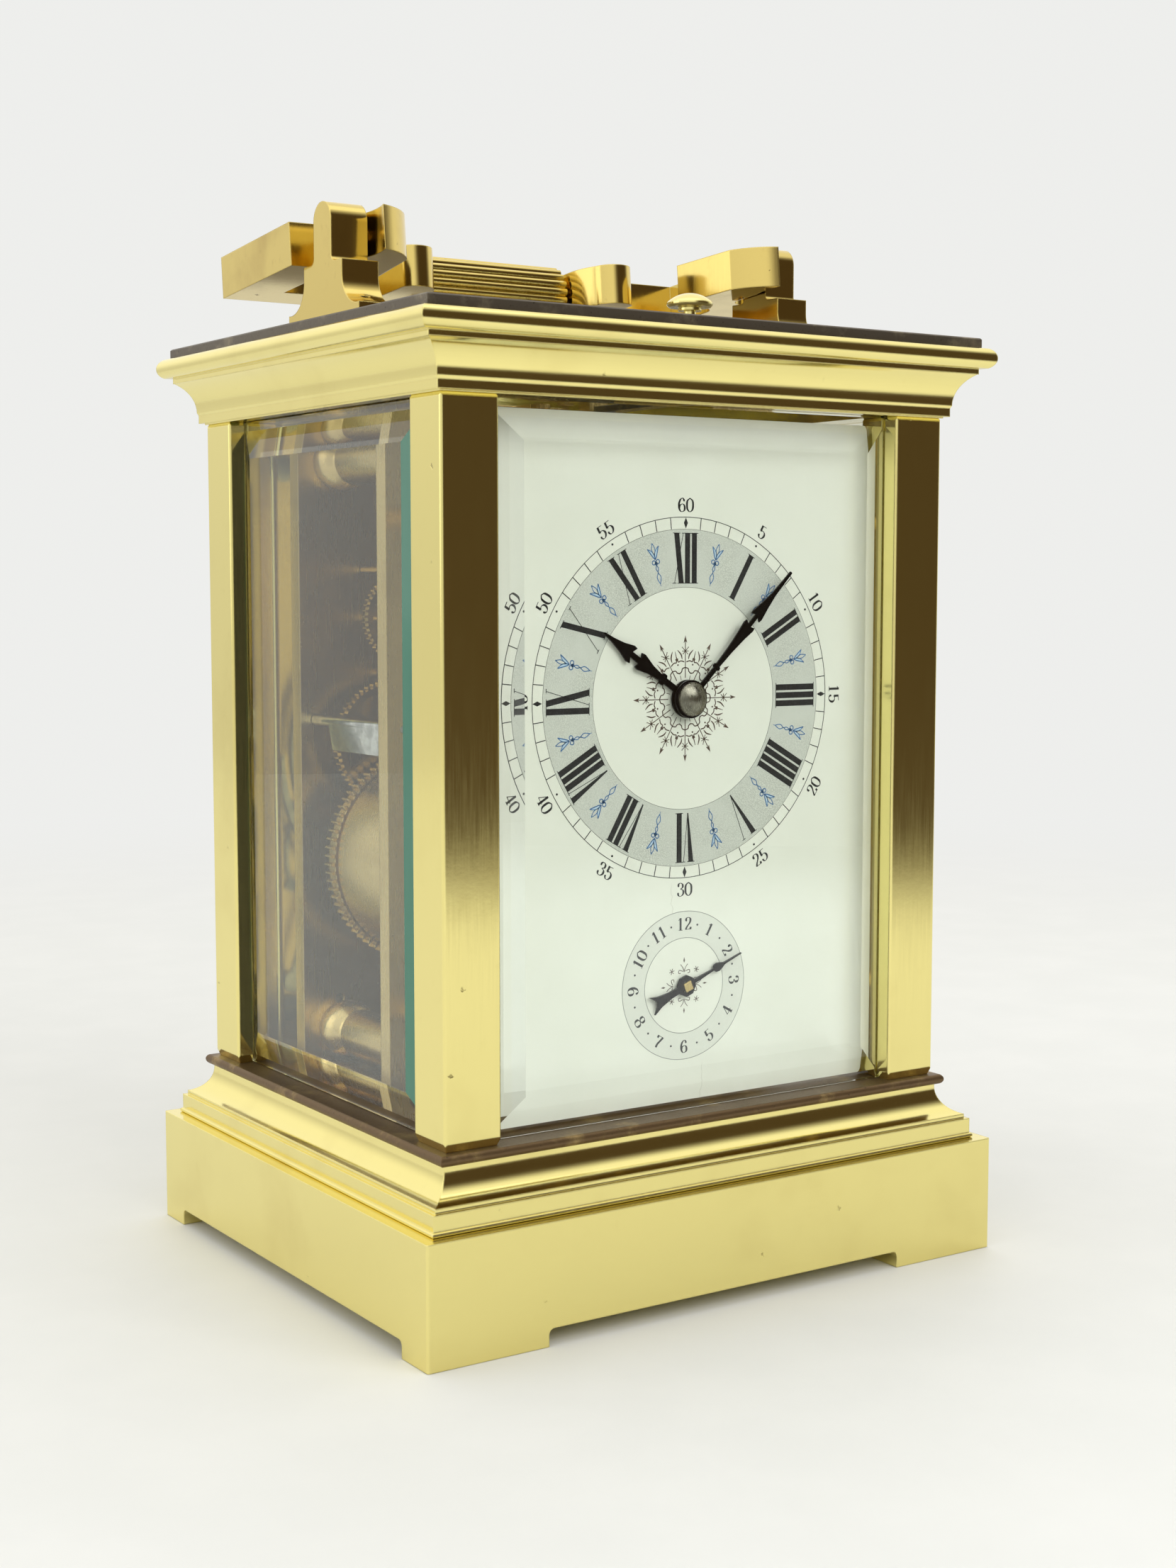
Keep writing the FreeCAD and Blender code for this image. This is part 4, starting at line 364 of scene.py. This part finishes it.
class Print:
    """Flat shapes lying on the enamel, gathered into one mesh. Points are (x, z) in millimetres."""

    def __init__(self, name, look, height):
        self.name = name
        self.look = look
        self.back = ENAMEL_FRONT
        self.front = ENAMEL_FRONT - height
        self.mesh = bmesh.new()

    def shape(self, points):
        """A filled outline, made into a thin closed plate."""
        front = [self.mesh.verts.new((x * MM, self.front * MM, z * MM)) for x, z in points]
        back = [self.mesh.verts.new((x * MM, self.back * MM, z * MM)) for x, z in points]
        self.mesh.faces.new(front)
        self.mesh.faces.new(list(reversed(back)))
        count = len(points)
        for i in range(count):
            j = (i + 1) % count
            self.mesh.faces.new((front[j], front[i], back[i], back[j]))

    def ribbon(self, left, right, closed=False):
        """A band between two rows of points."""
        rows = []
        for (lx, lz), (rx, rz) in zip(left, right):
            rows.append([self.mesh.verts.new((x * MM, y * MM, z * MM)) for x, y, z in (
                (lx, self.front, lz), (rx, self.front, rz), (rx, self.back, rz), (lx, self.back, lz))])
        count = len(rows)
        for i in range(count if closed else count - 1):
            a, b = rows[i], rows[(i + 1) % count]
            for k in range(4):
                m = (k + 1) % 4
                self.mesh.faces.new((a[k], a[m], b[m], b[k]))
        if not closed:
            self.mesh.faces.new(list(reversed(rows[0])))
            self.mesh.faces.new(rows[-1])

    def ring(self, centre, inner, outer, steps=120):
        turn = [2 * math.pi * i / steps for i in range(steps)]
        self.ribbon([on(centre, inner, math.degrees(t)) for t in turn],
                    [on(centre, outer, math.degrees(t)) for t in turn], closed=True)

    def dot(self, centre, radius, steps=12):
        self.shape([on(centre, radius, 360.0 * i / steps) for i in range(steps)])

    def line(self, points, half_widths, closed=False):
        """A pen line through the points; half_widths is one number or one per point."""
        count = len(points)
        if not isinstance(half_widths, (list, tuple)):
            half_widths = [half_widths] * count
        left, right = [], []
        for i, (x, z) in enumerate(points):
            before = points[i - 1] if i or closed else points[i]
            after = points[(i + 1) % count] if i < count - 1 or closed else points[i]
            dx, dz = after[0] - before[0], after[1] - before[1]
            size = math.hypot(dx, dz) or 1.0
            nx, nz = -dz / size * half_widths[i], dx / size * half_widths[i]
            left.append((x + nx, z + nz))
            right.append((x - nx, z - nz))
        self.ribbon(left, right, closed)

    def done(self):
        bmesh.ops.recalc_face_normals(self.mesh, faces=self.mesh.faces)
        data = bpy.data.meshes.new(self.name)
        self.mesh.to_mesh(data)
        self.mesh.free()
        data.materials.append(MATERIALS[self.look])
        piece = bpy.data.objects.new(self.name, data)
        bpy.context.scene.collection.objects.link(piece)
        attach(piece, "case")
        return piece


def on(centre, radius, degrees):
    """A point at this distance and clockwise angle from 12 o'clock."""
    t = math.radians(degrees)
    return (centre[0] + radius * math.sin(t), centre[1] + radius * math.cos(t))


def radial(centre, degrees):
    """Turns (across, out) at this clock angle into a dial point."""
    t = math.radians(degrees)
    s, c = math.sin(t), math.cos(t)
    return lambda u, v: (centre[0] + v * s + u * c, centre[1] + v * c - u * s)


def smooth(points, steps=6):
    """A curve through the points (Catmull-Rom)."""
    out = []
    for i in range(len(points) - 1):
        p0 = points[max(i - 1, 0)]
        p1, p2 = points[i], points[i + 1]
        p3 = points[min(i + 2, len(points) - 1)]
        for k in range(steps):
            t = k / steps
            out.append(tuple(
                0.5 * (2 * p1[a] + (p2[a] - p0[a]) * t + (2 * p0[a] - 5 * p1[a] + 4 * p2[a] - p3[a]) * t * t
                       + (3 * p1[a] - p0[a] - 3 * p2[a] + p3[a]) * t ** 3) for a in (0, 1)))
    out.append(points[-1])
    return out


# Roman numerals: letters with their widths, read clockwise with their tops outward
NUMERALS = {
    1: (("I", 1.16),), 2: (("I", 1.16),) * 2, 3: (("I", 1.14),) * 3, 4: (("I", 1.14),) * 4,
    5: (("V", 2.6),), 6: (("V", 1.9), ("I", 1.2)), 7: (("V", 1.8), ("I", 1.14), ("I", 1.14)),
    8: (("V", 1.8), ("I", 1.14), ("I", 1.14), ("I", 1.14)), 9: (("I", 1.25), ("X", 2.3)),
    10: (("X", 3.05),), 11: (("X", 2.05), ("I", 1.3)), 12: (("X", 1.75), ("I", 1.16), ("I", 1.16)),
}


def letter_i(ink_print, at, u):
    low, high = NUMERAL
    half = STROKE / 2
    ink_print.shape([at(u - half, low), at(u + half, low), at(u + half, high), at(u - half, high)])
    for v in (low, high):
        serif(ink_print, at, u - half - 0.22, u + half + 0.22, v)


def serif(ink_print, at, u0, u1, v):
    low, high = v - SERIF / 2, v + SERIF / 2
    ink_print.shape([at(u0, low), at(u1, low), at(u1, high), at(u0, high)])


def letter_v(ink_print, at, u, width):
    low, high = NUMERAL
    left, right = u - width / 2, u + width / 2 - 0.12
    foot = u + 0.10
    ink_print.shape([at(left, high), at(foot - 0.10, low), at(foot + 0.10, low), at(left + STROKE, high)])
    ink_print.line([at(foot, low), at(right, high)], HAIRLINE)
    serif(ink_print, at, left - 0.2, left + STROKE + 0.2, high)
    serif(ink_print, at, right - 0.3, right + 0.3, high)


def letter_x(ink_print, at, u, width):
    low, high = NUMERAL
    left, right = u - width / 2, u + width / 2
    ink_print.shape([at(left, high), at(right - STROKE, low), at(right, low), at(left + STROKE, high)])
    ink_print.line([at(left + 0.1, low), at(right - 0.1, high)], HAIRLINE)
    serif(ink_print, at, left - 0.2, left + STROKE + 0.2, high)
    serif(ink_print, at, right - 0.35, right + 0.25, high)
    serif(ink_print, at, right - STROKE - 0.2, right + 0.2, low)
    serif(ink_print, at, left - 0.25, left + 0.4, low)


def roman_numerals(ink_print):
    for hour, letters in NUMERALS.items():
        at = radial(TIME_CENTRE, 30.0 * hour)
        u = -sum(width for _, width in letters) / 2
        for letter, width in letters:
            middle = u + width / 2
            if letter == "I":
                letter_i(ink_print, at, middle)
            elif letter == "V":
                letter_v(ink_print, at, middle, width - 0.1)
            else:
                letter_x(ink_print, at, middle, width - 0.1)
            u += width


# Figures in a box one high and about 0.62 wide: smooth strokes, straight strokes, round ends
FIGURES = {
    "0": ([[(0.31, 1.0), (0.08, 0.82), (0.03, 0.5), (0.08, 0.18), (0.31, 0.0), (0.54, 0.18), (0.59, 0.5),
            (0.54, 0.82), (0.31, 1.0)]], [], []),
    "1": ([], [[(0.31, 1.0), (0.31, 0.0)], [(0.12, 0.02), (0.50, 0.02)]], []),
    "2": ([[(0.10, 0.76), (0.16, 0.94), (0.32, 1.0), (0.50, 0.92), (0.54, 0.74), (0.44, 0.52), (0.22, 0.28),
            (0.06, 0.04)]], [[(0.05, 0.05), (0.54, 0.05)], [(0.54, 0.03), (0.57, 0.22)]], [(0.13, 0.77)]),
    "3": ([[(0.10, 0.80), (0.18, 0.96), (0.34, 0.99), (0.50, 0.88), (0.50, 0.66), (0.30, 0.54)],
           [(0.30, 0.54), (0.54, 0.44), (0.57, 0.20), (0.40, 0.02), (0.18, 0.02), (0.06, 0.20)]], [],
          [(0.12, 0.78), (0.09, 0.21)]),
    "4": ([], [[(0.03, 0.28), (0.62, 0.28)], [(0.43, 1.0), (0.43, 0.0)], [(0.28, 0.02), (0.58, 0.02)]], []),
    "5": ([[(0.12, 0.50), (0.32, 0.60), (0.52, 0.50), (0.58, 0.29), (0.46, 0.06), (0.24, 0.0), (0.07, 0.16)]],
          [[(0.13, 0.52), (0.13, 0.98)], [(0.11, 0.95), (0.50, 0.97)]], [(0.10, 0.18)]),
    "6": ([[(0.52, 0.84), (0.38, 1.0), (0.18, 0.90), (0.05, 0.62), (0.05, 0.30), (0.16, 0.06), (0.33, 0.0),
            (0.52, 0.10), (0.57, 0.30), (0.50, 0.50), (0.32, 0.57), (0.12, 0.44), (0.08, 0.30)]], [],
          [(0.50, 0.83)]),
    "7": ([[(0.55, 0.97), (0.40, 0.60), (0.28, 0.30), (0.26, 0.0)]],
          [[(0.08, 0.95), (0.56, 0.95)], [(0.08, 0.98), (0.05, 0.76)]], []),
    "8": ([[(0.31, 1.0), (0.12, 0.90), (0.12, 0.66), (0.31, 0.54), (0.55, 0.40), (0.55, 0.12), (0.31, 0.0),
            (0.07, 0.12), (0.07, 0.40), (0.31, 0.54), (0.50, 0.66), (0.50, 0.90), (0.31, 1.0)]], [], []),
    "9": ([[(0.10, 0.16), (0.24, 0.0), (0.44, 0.10), (0.57, 0.38), (0.57, 0.70), (0.46, 0.94), (0.29, 1.0),
            (0.10, 0.90), (0.05, 0.70), (0.12, 0.50), (0.30, 0.43), (0.50, 0.56), (0.54, 0.70)]], [],
          [(0.12, 0.17)]),
}
THIN_STROKES = {"1": [[(0.12, 0.82), (0.31, 0.98)]], "4": [[(0.42, 1.0), (0.03, 0.28)]]}
FIGURE_STEP = 0.74
FIGURE_WIDTH = 0.62


def figure(ink_print, digit, place, height, weight):
    """One figure, thick where its strokes run up and down and thin where they run across."""
    curves, lines, balls = FIGURES[digit]
    for path in [smooth(c, 4) for c in curves] + [smooth(p, 2) for p in lines]:
        widths = []
        for i in range(len(path)):
            a, b = path[max(i - 1, 0)], path[min(i + 1, len(path) - 1)]
            rise = abs(b[1] - a[1]) / (math.hypot(b[0] - a[0], b[1] - a[1]) or 1.0)
            widths.append(height * (0.022 + weight * rise ** 2))
        ink_print.line([place(u * height, v * height) for u, v in path], widths)
    for path in [smooth(p, 2) for p in THIN_STROKES.get(digit, [])]:
        ink_print.line([place(u * height, v * height) for u, v in path], height * 0.028)
    for u, v in balls:
        ink_print.dot(place(u * height, v * height), height * (0.03 + weight * 0.8), 10)


def number(ink_print, text, centre, radius, degrees, height, weight, inward=False):
    """Figures centred at a radius; tops point out, or in towards the centre."""
    width = (len(text) - 1) * FIGURE_STEP + FIGURE_WIDTH
    turn = degrees + 180.0 if inward else degrees
    middle = on(centre, radius, degrees)
    at = radial(middle, turn)
    for i, digit in enumerate(text):
        shift = (i * FIGURE_STEP - width / 2) * height
        figure(ink_print, digit, lambda u, v, s=shift: at(u + s, v - height / 2), height, weight)


def minute_ring(ink_print):
    inner, outer = MINUTE_RING
    ink_print.ring(TIME_CENTRE, outer - 0.045, outer + 0.045, 180)
    for minute in range(60):
        at = radial(TIME_CENTRE, 6.0 * minute)
        if minute % 15 == 0:
            middle = (inner + outer) / 2
            ink_print.shape([at(0, middle + 0.75), at(0.33, middle), at(0, middle - 0.75), at(-0.33, middle)])
        elif minute % 5 == 0:
            ink_print.dot(at(0, 24.4), 0.16)
        else:
            half, start = 0.06, inner + 0.02
            ink_print.shape([at(-half, start), at(half, start), at(half, outer), at(-half, outer)])
    for minute in range(5, 65, 5):
        number(ink_print, str(minute), TIME_CENTRE, MINUTE_FIGURES_RADIUS, 6.0 * minute, 1.85, 0.062,
               20 <= minute <= 40)


def bows(blue, pale):
    """Twelve small ribbon bows on the half hours."""
    for i in range(12):
        at = radial(TIME_CENTRE, 15.0 + 30.0 * i)
        for side in (-1, 1):
            leaf = smooth([(0.0, 19.8), (side * 0.35, 20.3), (side * 0.95, 21.5)], 4)
            back = smooth([(side * 0.95, 21.5), (side * 0.42, 21.1), (side * 0.10, 20.6), (0.0, 19.9)], 4)
            pale.shape([at(u, v) for u, v in leaf[:-1] + back[:-1]])
            blue.line([at(u, v) for u, v in leaf], 0.075)
            blue.line([at(u, v) for u, v in back], 0.05)
            loop_points = [on((side * 0.34, 19.45), 0.30, 45.0 * k) for k in range(8)]
            blue.line([at(u, v) for u, v in loop_points], 0.075, closed=True)
            spear = smooth([(0.0, 20.4), (side * 0.28, 21.2), (0.0, 22.1)], 4)
            blue.line([at(u, v) for u, v in spear], 0.06)
            tail = smooth([(0.0, 19.1), (side * 0.20, 18.5), (0.0, 18.0), (side * 0.32, 17.3),
                           (0.0, 16.4)], 4)
            blue.line([at(u, v) for u, v in tail], 0.065)
        blue.line([at(0, 16.5), at(0, 16.05)], 0.04)
        blue.dot(at(0, 19.25), 0.26, 10)


def filigree(brown):
    """Twelve pointed rays, scallops and leaves around the centre."""
    for i in range(12):
        at = radial(TIME_CENTRE, 30.0 * i)
        brown.line([at(0, 2.9), at(0, 7.9)], 0.06)
        brown.shape([at(0, 8.75), at(-0.30, 7.75), at(0, 7.95), at(0.30, 7.75)])
        for side in (-1, 1):
            brown.line([at(0, 6.6), at(side * 0.45, 7.05)], 0.05)
            brown.line([at(0, 6.6), at(side * 0.45, 6.15)], 0.05)
            brown.line([at(0, 6.6), at(side * 0.55, 6.6)], 0.05)
            brown.dot(at(side * 0.52, 7.12), 0.08, 6)
            arc = smooth([(0.0, 4.35), (side * 0.50, 4.15), (side * 0.62, 3.75), (side * 1.00, 3.45)], 4)
            brown.line([at(u, v) for u, v in arc], 0.075)
            curl = smooth([(side * 0.18, 5.1), (side * 0.75, 5.25), (side * 1.20, 5.1),
                           (side * 1.33, 5.6)], 4)
            brown.line([at(u, v) for u, v in curl], 0.075)
            leaf = smooth([(side * 0.55, 5.45), (side * 0.72, 6.1), (side * 1.35, 6.75)], 4)
            brown.line([at(u, v) for u, v in leaf], [0.03 + 0.07 * math.sin(math.pi * k / (len(leaf) - 1))
                                                    for k in range(len(leaf))])
        between = radial(TIME_CENTRE, 15.0 + 30.0 * i)
        brown.dot(between(0, 4.85), 0.13, 8)
        brown.line([between(0, 5.4), between(0, 6.75)], [0.10, 0.03])
        brown.line([between(0, 2.7), between(0, 3.3)], 0.04)


def alarm_ring(ink_print, pale):
    pale.ring(ALARM_CENTRE, ALARM_RING[1] - 0.04, ALARM_RING[1] + 0.04, 100)
    pale.ring(ALARM_CENTRE, ALARM_RING[0] - 0.04, ALARM_RING[0] + 0.04, 80)
    for hour in range(1, 13):
        number(ink_print, str(hour), ALARM_CENTRE, ALARM_FIGURES_RADIUS, 30.0 * hour, 1.75, 0.07,
               4 <= hour <= 8)
        ink_print.dot(on(ALARM_CENTRE, ALARM_FIGURES_RADIUS, 30.0 * hour + 15.0), 0.15)


def alarm_arabesque(brown):
    """Small eightfold flower under the alarm hand."""
    for i in range(4):
        at = radial(ALARM_CENTRE, 90.0 * i)
        brown.shape([at(0, 4.0), at(-0.13, 3.55), at(0, 3.2), at(0.13, 3.55)])
        for side in (-1, 1):
            frond = smooth([(0.0, 1.9), (side * 0.2, 2.5), (side * 0.6, 3.0)], 4)
            brown.line([at(u, v) for u, v in frond], 0.045)
            curl = smooth([(side * 0.2, 2.0), (side * 0.85, 2.2), (side * 0.95, 1.8), (side * 0.6, 1.75)], 4)
            brown.line([at(u, v) for u, v in curl], 0.05)
        star = radial(ALARM_CENTRE, 45.0 + 90.0 * i)
        for turn in range(0, 180, 60):
            a, b = on((0, 3.0), 0.45, turn), on((0, 3.0), 0.45, turn + 180)
            brown.line([star(*a), star(*b)], 0.045)


def printed_dial():
    band = Print("dial_print_band", "band", 0.010)
    band.ring(TIME_CENTRE, *BAND, steps=180)
    band.done()
    grey = Print("dial_print_grey", "ink_grey", 0.014)
    for radius in (BAND[0], BAND[1]):
        grey.ring(TIME_CENTRE, radius - 0.035, radius + 0.035, 160)
    alarm_band = Print("dial_print_alarm_band", "alarm_band", 0.010)
    alarm_band.ring(ALARM_CENTRE, *ALARM_RING, steps=100)
    alarm_band.done()
    black = Print("dial_print_black", "ink_black", 0.022)
    roman_numerals(black)
    minute_ring(black)
    alarm_ring(black, grey)
    black.done()
    grey.done()
    pale = Print("dial_print_pale_blue", "ink_pale_blue", 0.016)
    blue = Print("dial_print_blue", "ink_blue", 0.020)
    bows(blue, pale)
    pale.done()
    blue.done()
    brown = Print("dial_print_brown", "ink_brown", 0.020)
    filigree(brown)
    alarm_arabesque(brown)
    brown.done()


# ------------------------------------------------------------------ camera, light, floor

def camera():
    turn, tilt = math.radians(CAMERA_TURN), math.radians(CAMERA_TILT)
    ahead = Vector((math.sin(turn) * math.cos(tilt), math.cos(turn) * math.cos(tilt), -math.sin(tilt)))
    right = ahead.cross(Vector((0, 0, 1))).normalized()
    up = right.cross(ahead)
    data = bpy.data.cameras.new("camera")
    data.lens = CAMERA_LENS
    data.sensor_width = 36.0
    data.clip_start = 0.01
    made = bpy.data.objects.new("camera", data)
    made.matrix_world = Matrix((
        (right.x, up.x, -ahead.x, CAMERA_PLACE.x), (right.y, up.y, -ahead.y, CAMERA_PLACE.y),
        (right.z, up.z, -ahead.z, CAMERA_PLACE.z), (0, 0, 0, 1)))
    bpy.context.scene.collection.objects.link(made)
    bpy.context.scene.camera = made


def floor():
    """Pale tabletop that fades into the backdrop, and into the dark side of the room in reflections."""
    s = Shader("floor")
    away = s.node("VectorMath", {0: s.place()}, operation="LENGTH").outputs["Value"]
    grain = s.noise(0.05, 4.0)
    colour = s.mix(s.ramp(grain, 0.3, 0.8), (0.680, 0.687, 0.672), (0.704, 0.709, 0.694))
    solid = s.principled(Base_Color=colour, Roughness=0.6, Normal=s.bump(s.noise(1.5), 0.02, 0.3))
    glow = s.node("Emission", {"Color": BACKDROP, "Strength": 1.0}).outputs[0]
    camera_ray = s.node("LightPath").outputs["Is Camera Ray"]
    share = s.math("MULTIPLY", s.ramp(away, *FLOOR_FADES_OUT), camera_ray)
    pale = s.node("MixShader", {0: share, 1: solid, 2: glow}).outputs[0]
    towards = s.node("VectorMath", {0: s.place(), 1: DARK_SIDE}, operation="DOT_PRODUCT").outputs["Value"]
    reflected = s.math("SUBTRACT", 1.0, camera_ray)
    dim = s.math("MULTIPLY", s.ramp(towards, *FLOOR_DARKENS), reflected)
    room = s.node("Emission", {"Color": ROOM_TONE, "Strength": 1.0}).outputs[0]
    surface = s.node("MixShader", {0: dim, 1: pale, 2: room}).outputs[0]
    mesh = bmesh.new()
    bmesh.ops.create_circle(mesh, cap_ends=True, segments=96, radius=FLOOR_RADIUS)
    data = bpy.data.meshes.new("floor")
    mesh.to_mesh(data)
    mesh.free()
    data.materials.append(s.finish(surface))
    made = bpy.data.objects.new("floor", data)
    made.location.z = -FLOOR_DROP
    bpy.context.scene.collection.objects.link(made)


def backdrop():
    """Even pale surround. Reflections see it dimmer near the horizon, with a dark room to the front right."""
    world = bpy.data.worlds.new("world")
    bpy.context.scene.world = world
    w = NodeTree(world)
    direction = w.node("TexCoord").outputs["Generated"]
    towards = w.node("VectorMath", {0: direction, 1: DARK_SIDE}, operation="DOT_PRODUCT").outputs["Value"]
    up = w.node("SeparateXYZ", {0: direction}).outputs["Z"]
    walls = w.mix(w.ramp(up, -0.05, 0.35), LOW_SURROUND, HIGH_SURROUND)
    reflected = w.mix(w.ramp(towards, 0.62, 0.93), walls, ROOM_TONE)
    camera_ray = w.node("LightPath").outputs["Is Camera Ray"]
    background = w.node("Background", {"Color": w.mix(camera_ray, reflected, BACKDROP)})
    w.node("OutputWorld", {"Surface": background.outputs[0]})


def area_light(name, place, aim, size, power, mirrored):
    data = bpy.data.lights.new(name, "AREA")
    data.shape = "RECTANGLE"
    data.size, data.size_y = size
    data.energy = power
    made = bpy.data.objects.new(name, data)
    made.location = place
    made.rotation_euler = (Vector(aim) - Vector(place)).to_track_quat("-Z", "Y").to_euler()
    made.visible_camera = False
    made.visible_glossy = mirrored
    bpy.context.scene.collection.objects.link(made)


dress_cad_nodes()
printed_dial()
camera()
floor()
backdrop()
for light in LIGHTS:
    area_light(*light)
bpy.context.scene.view_settings.view_transform = "Standard"
